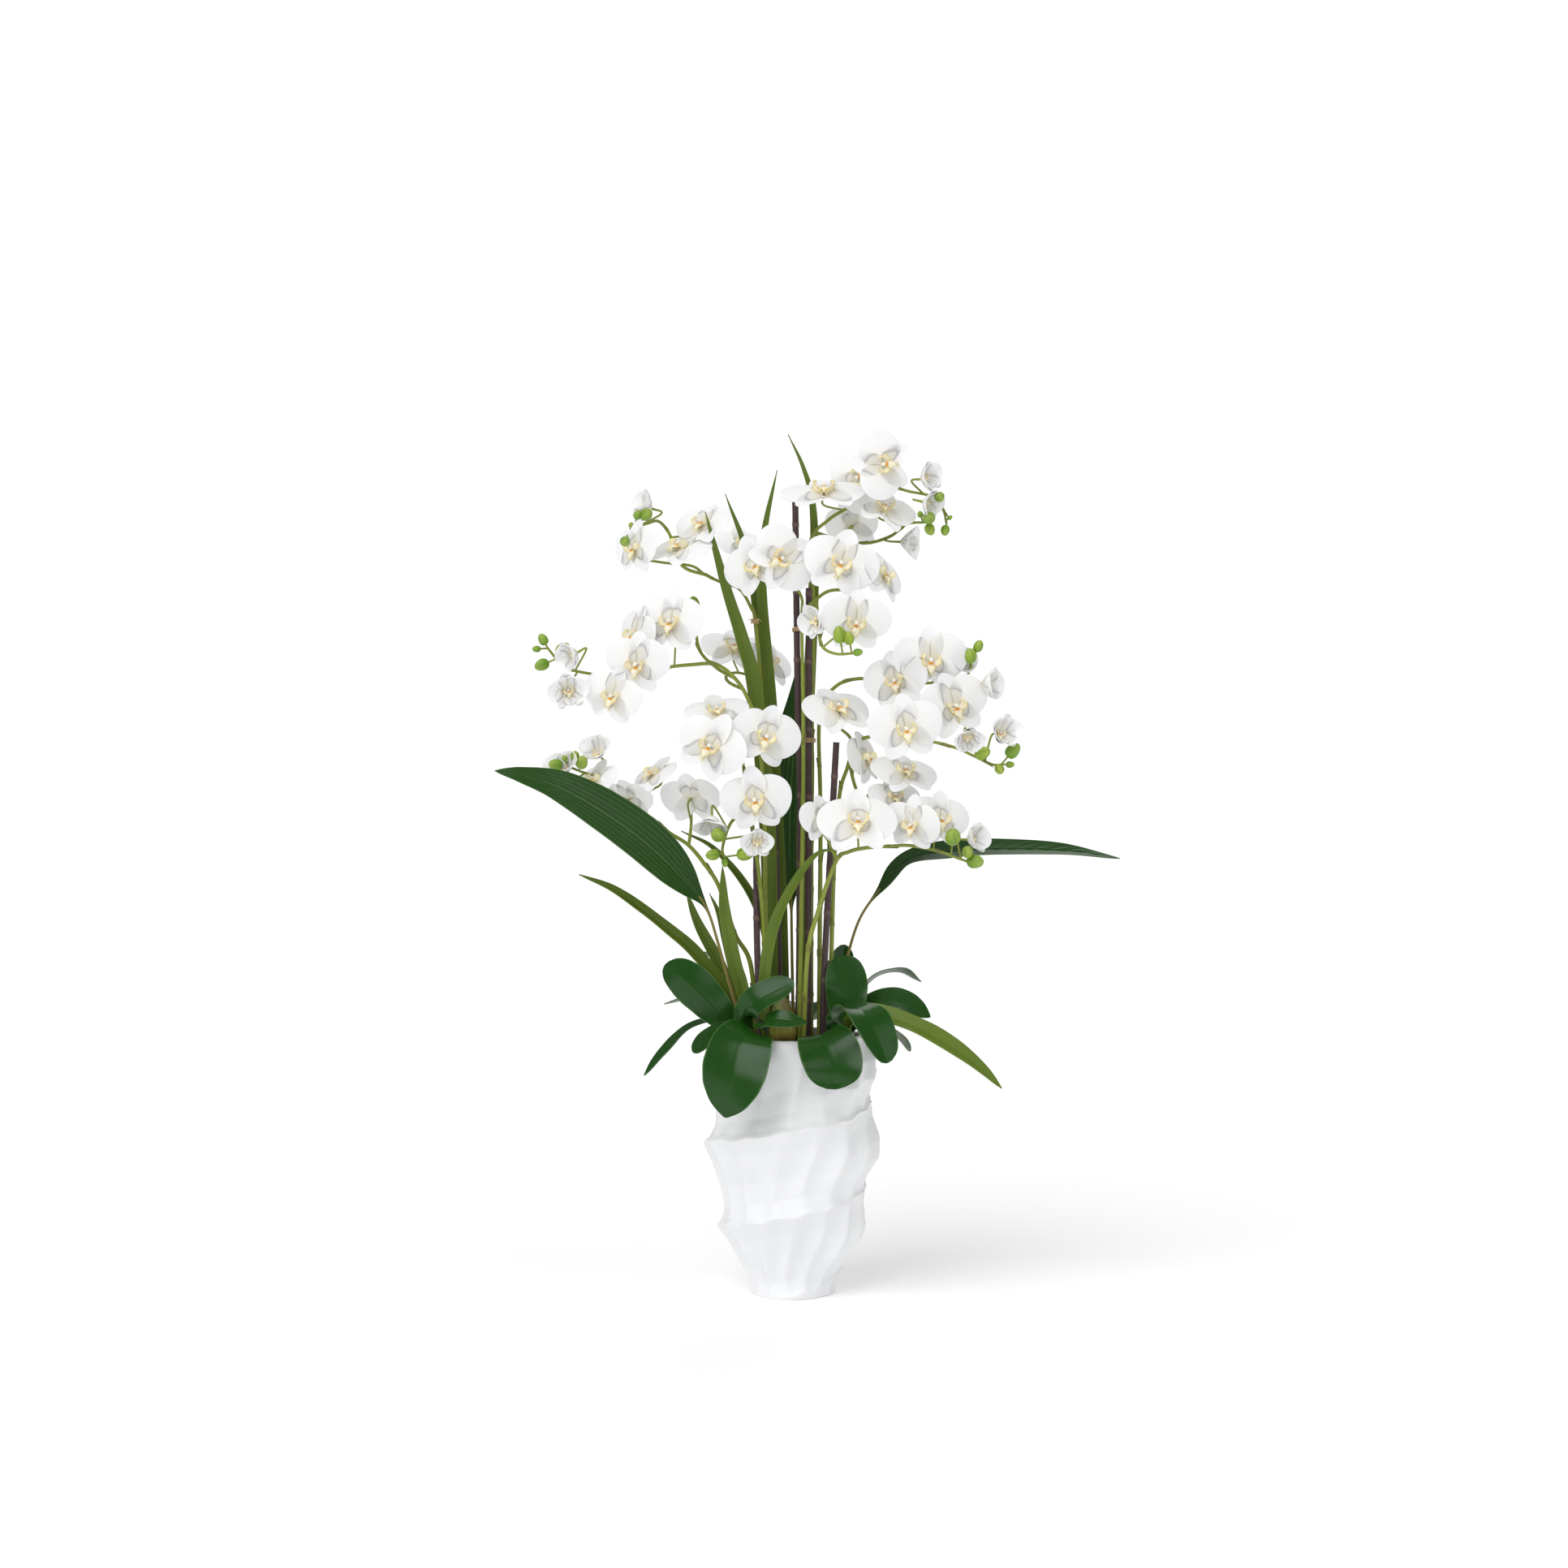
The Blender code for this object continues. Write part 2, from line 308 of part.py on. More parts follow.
def grow_together(obj, shells, mat):
    """Union of an object with many closed shells, which may cross each other."""
    group = bpy.data.collections.new(obj.name + "_growth")
    bpy.context.scene.collection.children.link(group)
    group.hide_render = True
    for k, shell in enumerate(shells):
        tool = add_object("%s_growth_%02d" % (obj.name, k), [shell], mat)
        bpy.context.scene.collection.objects.unlink(tool)
        group.objects.link(tool)
        tool.hide_render = True
        tool.display_type = "WIRE"
    mod = obj.modifiers.new("grow_together", "BOOLEAN")
    mod.operation = "UNION"
    mod.solver = "MANIFOLD"
    mod.operand_type = "COLLECTION"
    mod.collection = group


def skin_rings(rings):
    """Closed shell over rings of equal length, flat ends."""
    count = len(rings[0])
    verts = [v for ring in rings for v in ring]
    faces = [tuple(range(count))[::-1]]
    for row in range(len(rings) - 1):
        for i in range(count):
            j = (i + 1) % count
            faces.append((row * count + i, row * count + j, (row + 1) * count + j, (row + 1) * count + i))
    last = (len(rings) - 1) * count
    faces.append(tuple(last + i for i in range(count)))
    return verts, faces


def smooth_path(points, steps):
    """Catmull-Rom points through a list, evenly spread by length."""
    pts = [Vector(p) for p in points]
    pts = [pts[0] * 2 - pts[1]] + pts + [pts[-1] * 2 - pts[-2]]
    dense = []
    for k in range(1, len(pts) - 2):
        a, b, c, d = pts[k - 1:k + 3]
        for s in range(12):
            t = s / 12
            dense.append(0.5 * (2 * b + (c - a) * t + (2 * a - 5 * b + 4 * c - d) * t * t
                                + (3 * b - 3 * c + d - a) * t * t * t))
    dense.append(pts[-2])
    run = [0.0]
    for a, b in zip(dense, dense[1:]):
        run.append(run[-1] + (b - a).length)
    out = []
    for k in range(steps + 1):
        want = run[-1] * k / steps
        i = min(max(int(np.searchsorted(run, want)), 1), len(dense) - 1)
        share = (want - run[i - 1]) / max(run[i] - run[i - 1], 1e-9)
        out.append(dense[i - 1].lerp(dense[i], share))
    return out


def tangents(path):
    out = []
    for k in range(len(path)):
        out.append((path[min(k + 1, len(path) - 1)] - path[max(k - 1, 0)]).normalized())
    return out


def tube(path, radii, sides, phase=0.0):
    """Closed tube with a frame carried along the path so that it does not twist."""
    along = tangents(path)
    side = along[0].orthogonal().normalized()
    rings = []
    for point, tangent, radius in zip(path, along, radii):
        side = (side - tangent * side.dot(tangent)).normalized()
        other = tangent.cross(side)
        rings.append([point + radius * (math.cos(a) * side + math.sin(a) * other)
                      for a in (phase + 2 * math.pi * i / sides for i in range(sides))])
    return skin_rings(rings)


def planted(point):
    """Place in the part of a point given from the soil centre; the root keeps its own place."""
    x, y, z = point
    return Vector((x * PLANT_SCALE, y * PLANT_SCALE, SOIL_TOP + z * PLANT_SCALE))


def rooted(points):
    """Path that starts with an upright peg in the soil at the unscaled first point."""
    x, y, _ = points[0]
    peg = [Vector((x, y, SOIL_TOP - PEG_DEPTH)), Vector((x, y, SOIL_TOP + 0.003))]
    return peg, [peg[1]] + [planted(p) for p in points[1:]]


PEGS = []                    # x, y, radius and side count of every hole the soil needs


# ---- pot and soil -------------------------------------------------------------------
def pot_envelope(z):
    """Widest radius of the pot at a height."""
    t = z / POT_HEIGHT
    heights = (0.0, 0.048, 0.13, 0.20, 0.25, 0.30, 0.44, 0.53, 0.68, 0.83, 1.0)
    widths = (0.0, 0.10, 0.40, 0.56, 0.66, 0.73, 0.90, 0.98, 1.0, 0.97, 0.86)
    return POT_FOOT_R + (POT_BELLY_R - POT_FOOT_R) * float(np.interp(t, heights, widths))


def pot_radius(angle, z):
    """Outer radius: a rising ledge, crisp on the left and soft on the right, over soft upright flutes."""
    turn = (angle - math.pi) / (2 * math.pi)
    phase = (z - LEDGE_START) / LEDGE_PITCH - turn
    u = phase - math.floor(phase)
    crisp = float(np.interp(u, (0.0, 0.06, 0.20, 0.45, 0.80, 1.0), (1.0, 0.925, 0.86, 0.85, 0.92, 1.0)))
    soft = float(np.interp(u, (0.0, 0.04, 0.16, 0.36, 0.56, 0.80, 0.95, 1.0),
                           (0.875, 0.86, 0.89, 0.99, 0.985, 0.90, 0.885, 0.90)))
    right = min(max((0.5 + 0.5 * math.cos(angle) - 0.60) / 0.40, 0.0), 1.0)
    right = right * right * (3 - 2 * right)
    lean = -0.55 * u * math.cos(angle + 0.4) + 0.10 * math.sin(2 * math.pi * u)
    flute = (angle * POT_FLUTES / (2 * math.pi) + lean + 0.37 * math.floor(phase)) % 1.0
    ends = math.sin(math.pi * min(max(u, 0.03), 0.97)) ** 0.35
    scallop = FLUTE_DEPTH * math.sin(math.pi * flute) ** 0.8 * (1 + 0.25 * right) * ends
    low = min(max((z + 0.030) / 0.050, 0.0), 1.0)
    form = 1 - (1 - crisp * (1 - right) - soft * right) * low * low * (3 - 2 * low)
    foot = min(max((z + 0.010) / 0.045, 0.0), 1.0)
    radius = pot_envelope(z) * form - scallop * foot * foot * (3 - 2 * foot)
    mouth = min(max((z - POT_HEIGHT + 0.030) / 0.030, 0.0), 1.0)
    mouth = mouth * mouth * (3 - 2 * mouth)
    return radius * (1 - mouth) + POT_MOUTH_R * mouth


def inner_radius(z):
    """Radius of the round hollow inside the pot."""
    steps = [pot_radius(2 * math.pi * k / 96, zz) for k in range(96)
             for zz in (z - 0.012, z, min(z + 0.012, POT_HEIGHT))]
    return min(min(steps) - POT_WALL, POT_MOUTH_R - POT_WALL)


def ring_at(z, radius, count):
    return [Vector((radius * math.cos(a), radius * math.sin(a), z))
            for a in (2 * math.pi * k / count for k in range(count))]


HOLLOW_HEIGHTS = [POT_FLOOR + (SOIL_TOP - POT_FLOOR) * share for share in (0.0, 0.15, 0.35, 0.62, 0.895, 1.0)]


def build_pot(mat):
    """The pot; returns its surface, so that the leaves can be kept clear of it."""
    around, up = 72, 26
    rings = []
    for row in range(up + 1):
        z = POT_HEIGHT * row / up
        rings.append([Vector((r * math.cos(a), r * math.sin(a), z))
                      for a in (2 * math.pi * k / around for k in range(around))
                      for r in [pot_radius(a, z)]])
    rings.append(ring_at(POT_HEIGHT, POT_MOUTH_R - POT_WALL, around))
    for z in reversed(HOLLOW_HEIGHTS):
        rings.append(ring_at(z, inner_radius(z), around))
    shell = skin_rings(rings)
    add_object("pot", [shell], mat)
    return BVHTree.FromPolygons(*shell)


def build_soil(mat):
    around = 48
    rings = []
    for z in HOLLOW_HEIGHTS:
        rings.append(ring_at(max(z, POT_FLOOR + FIT_GAP), inner_radius(z) - FIT_GAP * 2, around))
    soil = add_object("potting_mix", [skin_rings(rings)], mat, smooth=False)
    holes = []
    for x, y, radius, sides in PEGS:
        base = SOIL_TOP - PEG_DEPTH - FIT_GAP
        centre = Vector((x, y, 0.0))
        wide = (radius + FIT_GAP) / math.cos(math.pi / sides)
        holes.append(skin_rings([[centre + v for v in ring_at(z, wide, sides)]
                                 for z in (base, SOIL_TOP + 0.01)]))
    cut_away(soil, add_object("planting_holes", holes, mat))
    return soil


# ---- blooms, buds and stems ---------------------------------------------------------
def facing_frame(turn, tilt, roll):
    """Right, up and forward of a bloom; turn to the right, tilt up, roll clockwise."""
    turn, tilt, roll = (math.radians(v) for v in (turn, tilt, roll))
    forward = Vector((math.sin(turn) * math.cos(tilt), -math.cos(turn) * math.cos(tilt), math.sin(tilt)))
    right = Vector((math.cos(turn), math.sin(turn), 0.0))
    up = right.cross(-forward)
    return (right * math.cos(roll) - up * math.sin(roll), up * math.cos(roll) + right * math.sin(roll), forward)


# Outline of an open bloom: angle from the right, reach as a share of the span.
OUTLINE = ((80, 0.44), (100, 0.44), (132, 0.20), (156, 0.44), (184, 0.49), (206, 0.40), (216, 0.17),
           (228, 0.44), (246, 0.43), (270, 0.12), (294, 0.43), (312, 0.44), (324, 0.17), (334, 0.40),
           (356, 0.49), (384, 0.44), (408, 0.20))


def bloom_shell(spec):
    """Thin lobed dish with a raised lip; returns the shell, its middle and the way it looks."""
    x, y, z, turn, tilt, roll, span, openness = spec
    right, up, forward = facing_frame(turn, tilt, roll)
    centre = planted((x, y, z))
    span = span * MM * BLOOM_SCALE
    lift = math.radians(82) * (1 - openness)
    rim = []
    for angle, reach in OUTLINE:
        a = math.radians(angle)
        out = reach * span * math.cos(lift)
        rise = reach * span * math.sin(lift) - (0.05 * span if openness > 0.7 and reach > 0.4 else 0.0)
        rim.append(centre + right * out * math.cos(a) + up * out * math.sin(a) + forward * rise)
    count = len(rim)
    narrow = 0.045 * span * (0.4 + 0.6 * openness)
    collar = [centre + (right * x_share + up * y_share) * narrow + forward * 0.01 * span
              for x_share, y_share in ((1.5, 0.0), (0.0, 1.2), (-1.5, 0.0), (0.0, -2.2))]
    peak = centre - up * narrow * 1.6 + forward * 0.11 * span
    heel = centre - forward * PETAL_THICKNESS * 2
    verts = rim + collar + [peak, heel]
    faces = []
    for i in range(count):
        faces.append(((i + 1) % count, i, count + 5))
    for quarter, start in enumerate((14, 1, 7, 9)):
        stop = (1, 7, 9, 14)[quarter] + (count if quarter == 0 else 0)
        for i in range(start, stop):
            faces.append((i % count, (i + 1) % count, count + quarter))
        faces.append((stop % count, count + (quarter + 1) % 4, count + quarter))
        faces.append((count + quarter, count + (quarter + 1) % 4, count + 4))
    return (verts, faces), centre, forward


def nearest_on_arms(arms, point, reach):
    """Point of the arms about one stalk length from the given point, low rather than high."""
    best, cost = None, 1e9
    for arm in arms:
        for p in arm:
            distance = (p - point).length
            score = abs(distance - reach) + 0.25 * max(0.0, p.z - point.z) + 0.4 * max(0.0, distance - 2 * reach)
            if score < cost:
                best, cost = p, score
    return best


def build_spike(name, spec, mat):
    arms, grown = [], []
    for k, route in enumerate(spec["arms"]):
        if k == 0:
            peg, path = rooted(route)
            path = [peg[0]] + smooth_path(path, len(route) + 3)
            PEGS.append((route[0][0], route[0][1], STEM_R, 6))
        else:
            path = smooth_path([planted(p) for p in route], len(route))
            path[0] = nearest_on_arms(arms, path[0], 0.0)
        first = STEM_R if k == 0 else STEM_R * 0.7
        radii = [first + (STEM_R * 0.5 - first) * (i / (len(path) - 1)) ** 2 for i in range(len(path))]
        grown.append(tube(path, radii, 6))
        arms.append([a.lerp(b, share) for a, b in zip(path[1:], path[2:]) for share in (0.2, 0.5, 0.8)])
    for bloom in spec["blooms"]:
        dish, centre, forward = bloom_shell(bloom)
        behind = centre - forward * 0.016
        join = nearest_on_arms(arms, centre, 0.034 if bloom[7] > 0.7 else 0.026)
        stalk = smooth_path([centre - forward * PETAL_THICKNESS, behind, join], 3)
        grown += [dish, tube(stalk, [PEDICEL_R] * 4, 4)]
    for x, y, z, radius in spec["buds"]:
        at = planted((x, y, z))
        radius = radius * MM * BLOOM_SCALE
        join = nearest_on_arms(arms, at, radius + 0.004)
        axis = (at - join).normalized()
        stalk = [join, at - axis * radius * 1.2, at - axis * radius * 0.55, at + axis * radius * 0.3,
                 at + axis * radius * 1.25]
        grown.append(tube(stalk, [PEDICEL_R, PEDICEL_R, radius * 0.85, radius, radius * 0.15], 5))
    spike = add_object(name, grown[:1], mat)
    grow_together(spike, grown[1:], mat)
    return spike


# ---- canes, ties, leaves, bulb ------------------------------------------------------
def build_cane(name, route, mat):
    peg, path = rooted(route)
    path = [peg[0]] + smooth_path(path, 4)
    PEGS.append((route[0][0], route[0][1], CANE_R, 8))
    return add_object(name, [tube(path, [CANE_R] * len(path), 8)], mat)


def build_tie(name, spec, mat):
    """Closed band round two round members."""
    first, first_r, second, second_r = spec
    a, b = planted(first), planted(second)
    centres = (a, b) if (b - a).length > 1e-6 else (a, a + Vector((1e-5, 0, 0)))
    heading = math.atan2(centres[1].y - centres[0].y, centres[1].x - centres[0].x)
    gap = FIT_GAP * 2 + TIE_R
    rings = []
    for centre, radius, start in ((centres[1], second_r, -90), (centres[0], first_r, 90)):
        for k in range(6):
            t = heading + math.radians(start + 36 * k)
            out = Vector((math.cos(t), math.sin(t), 0.0))
            spot = centre + out * (radius + gap) * 1.04
            rings.append([spot - out * TIE_R * 0.8, spot - Z_AXIS * TIE_R * 3,
                          spot + out * TIE_R * 0.8, spot + Z_AXIS * TIE_R * 3])
    count = len(rings)
    verts = [v for ring in rings for v in ring]
    faces = [(4 * i + k, 4 * i + (k + 1) % 4, 4 * ((i + 1) % count) + (k + 1) % 4, 4 * ((i + 1) % count) + k)
             for i in range(count) for k in range(4)]
    return add_object(name, [(verts, faces)], mat)


def within_the_mouth(root):
    """How far a leaf moves inward, so that its root has filling all round it."""
    room = POT_MOUTH_R - POT_WALL - LEAF_PEG_R - 3 * FIT_GAP
    move = min(room / max(math.hypot(root[0], root[1]), MM) - 1.0, 0.0)
    return Vector((root[0] * move, root[1] * move, 0.0))


def blade(route, half_width, looks, marks, outline, trough, raised):
    """Leaf blade on a round peg: the outline gives its half width at each mark along the route."""
    peg, path = rooted(route)
    moved = within_the_mouth(route[0])
    peg = [point + moved for point in peg]
    path = [peg[1]] + [point + moved + raised * Z_AXIS for point in path[1:]]
    fine = smooth_path(path, 100)
    path = [fine[round(100 * mark)] for mark in marks]
    along = [fine[min(round(100 * mark) + 1, 100)] - fine[max(round(100 * mark) - 1, 0)] for mark in marks]
    looks = Vector(looks).normalized()
    rings = [[peg[0] + LEAF_PEG_R * ROOT_TAPER * Vector((math.cos(a), math.sin(a), 0.0))
              for a in (math.pi + math.pi / 3 * k for k in range(6))]]
    for k, (point, tangent, share) in enumerate(zip(path, along, outline)):
        tangent = tangent.normalized()
        wide = tangent.cross(looks).normalized()
        face = wide.cross(tangent).normalized()
        half = max(half_width * share, LEAF_PEG_R * (1.0 if marks[k] < 0.5 else 0.4))
        if k == 0:
            wide, face, half = Vector((1.0, 0.0, 0.0)), Vector((0.0, -1.0, 0.0)), LEAF_PEG_R
        thick = LEAF_THICKNESS * 0.5 if half > LEAF_PEG_R * 1.5 else min(half, LEAF_PEG_R) * 0.87
        dip = trough * half * min(1.0, max(0.0, (half - LEAF_PEG_R) / half_width * 2))
        rings.append([point - wide * half + face * dip * 0.6, point - wide * half * 0.5 + face * (thick - dip * 0.2),
                      point + wide * half * 0.5 + face * (thick - dip * 0.2), point + wide * half + face * dip * 0.6,
                      point + wide * half * 0.5 + face * (-thick - dip * 0.2),
                      point - wide * half * 0.5 + face * (-thick - dip * 0.2)])
    return skin_rings(rings)


STRAP_SHAPE = ((0.0, 0.10, 0.25, 0.42, 0.58, 0.74, 0.88, 0.96, 1.0), (0.0, 0.6, 0.88, 1.0, 0.97, 0.84, 0.54, 0.27, 0.03))
BROAD_SHAPE = ((0.0, 0.15, 0.30, 0.40, 0.48, 0.55, 0.62, 0.72, 0.82, 0.91, 0.97, 1.0),
               (0.0, 0.0, 0.0, 0.0, 0.55, 0.86, 1.0, 0.97, 0.80, 0.50, 0.24, 0.03))
BASE_SHAPE = ((0.0, 0.16, 0.34, 0.52, 0.68, 0.83, 0.95, 1.0), (0.0, 0.30, 0.62, 0.89, 1.0, 0.92, 0.58, 0.20))


def build_leaf(name, spec, mat, shape, trough, pot):
    """One leaf, raised in small steps until it passes over the rim of the pot."""
    route, half_width, looks = spec
    for step in range(LEAF_RISES):
        shell = blade(route, half_width, looks, *shape, trough, step * LEAF_RISE)
        if not pot.overlap(BVHTree.FromPolygons(*shell)):
            break
    if step:
        shell = blade(route, half_width, looks, *shape, trough, (step + 1) * LEAF_RISE)
    moved = within_the_mouth(route[0])
    PEGS.append((route[0][0] + moved.x, route[0][1] + moved.y, LEAF_PEG_R, 6))
    return add_object(name, [shell], mat)


def build_bulb(mat):
    x, y = BULB_AT
    heights = (0.0, 0.06, 0.25, 0.5, 0.75, 1.0)
    widths = (0.72, 0.95, 1.0, 0.86, 0.62, 0.42)
    rings = [[Vector((x, y, 0.0)) + v for v in ring_at(SOIL_TOP - PEG_DEPTH, BULB_R * 0.6, 12)]]
    for h, w in zip(heights, widths):
        rings.append([Vector((x, y, 0.0)) + v for v in ring_at(SOIL_TOP + BULB_HEIGHT * h + FIT_GAP * 2, BULB_R * w, 12)])
    rings.insert(1, [Vector((x, y, 0.0)) + v for v in ring_at(SOIL_TOP + FIT_GAP, BULB_R * 0.6, 12)])
    PEGS.append((x, y, BULB_R * 0.6, 12))
    return add_object("pseudobulb", [skin_rings(rings)], mat)


def main():
    for obj in list(bpy.data.objects):
        bpy.data.objects.remove(obj, do_unlink=True)
    mats = {
        "pot": material("matt_ceramic", (0.86, 0.86, 0.86), 0.6),
        "soil": material("potting_mix", (0.03, 0.02, 0.012), 0.95),
        "spike": material("flower_spike", (0.90, 0.90, 0.92), 0.5),
        "cane": material("dark_cane", (0.05, 0.028, 0.024), 0.45),
        "tie": material("raffia", (0.72, 0.50, 0.27), 0.8),
        "strap": material("strap_leaf", (0.11, 0.19, 0.025), 0.45),
        "leaf": material("base_leaf", (0.010, 0.06, 0.010), 0.25),
        "broad": material("broad_leaf", (0.015, 0.07, 0.014), 0.35),
        "bulb": material("pseudobulb", (0.28, 0.29, 0.03), 0.5),
    }
    pot = build_pot(mats["pot"])
    for name, spec in SPIKES.items():
        build_spike(name, spec, mats["spike"])
    for name, route in CANES.items():
        build_cane(name, route, mats["cane"])
    for name, spec in TIES.items():
        build_tie(name, spec, mats["tie"])
    for name, spec in STRAPS.items():
        build_leaf(name, spec, mats["strap"], STRAP_SHAPE, 0.25, pot)
    for name, spec in BROAD_LEAVES.items():
        build_leaf(name, spec, mats["broad"], BROAD_SHAPE, 0.2, pot)
    for name, spec in BASE_LEAVES.items():
        build_leaf(name, spec, mats["leaf"], BASE_SHAPE, 0.25, pot)
    build_bulb(mats["bulb"])
    build_soil(mats["soil"])


main()
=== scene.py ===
"""Potted orchid arrangement, dressed on its solid frame.

White moth orchid sprays, dark canes, raffia ties, strap and broad leaves and glossy base leaves,
planted in a sculpted matt white pot. Metres, +Z up, front toward -Y.
"""

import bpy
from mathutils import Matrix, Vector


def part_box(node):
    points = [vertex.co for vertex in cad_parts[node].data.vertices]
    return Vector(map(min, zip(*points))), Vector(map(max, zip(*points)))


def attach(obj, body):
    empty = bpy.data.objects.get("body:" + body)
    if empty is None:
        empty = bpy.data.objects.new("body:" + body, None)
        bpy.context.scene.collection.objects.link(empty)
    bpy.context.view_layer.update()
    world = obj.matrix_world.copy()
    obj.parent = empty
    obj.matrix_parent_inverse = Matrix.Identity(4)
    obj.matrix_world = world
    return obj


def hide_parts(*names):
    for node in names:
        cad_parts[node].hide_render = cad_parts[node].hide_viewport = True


bl_info = {
    "name": "Potted Orchid Arrangement",
    "version": (1, 0, 0),
    "blender": (4, 5, 0),
    "location": "View3D > Sidebar > Orchid",
    "description": "Builds a potted moth orchid arrangement piece by piece on its solid frame",
    "category": "Add Mesh",
}

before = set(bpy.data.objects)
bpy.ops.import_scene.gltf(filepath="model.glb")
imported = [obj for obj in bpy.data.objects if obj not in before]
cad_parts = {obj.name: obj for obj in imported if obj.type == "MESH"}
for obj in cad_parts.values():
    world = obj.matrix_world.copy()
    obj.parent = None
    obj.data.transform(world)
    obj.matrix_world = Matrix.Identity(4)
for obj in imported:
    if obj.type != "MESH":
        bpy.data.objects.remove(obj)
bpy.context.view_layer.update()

import math

import bpy
import numpy as np
from mathutils import Vector

# ---- sizes shared with the solid frame ----------------------------------------------
POT_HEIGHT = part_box("pot")[1][2]
POT_MOUTH_R = 0.090
POT_BELLY_R = 0.113
POT_FOOT_R = 0.056
POT_WALL = 0.007
POT_FLUTES = 16
FLUTE_DEPTH = 0.0060
LEDGE_PITCH = 0.105
LEDGE_START = 0.188
SOIL_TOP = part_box("potting_mix")[1][2]
STEM_R = 0.0031
CANE_R = 0.0040
BULB_R = 0.018
BULB_HEIGHT = 0.062
MM = 0.001
UP = np.array((0.0, 0.0, 1.0))

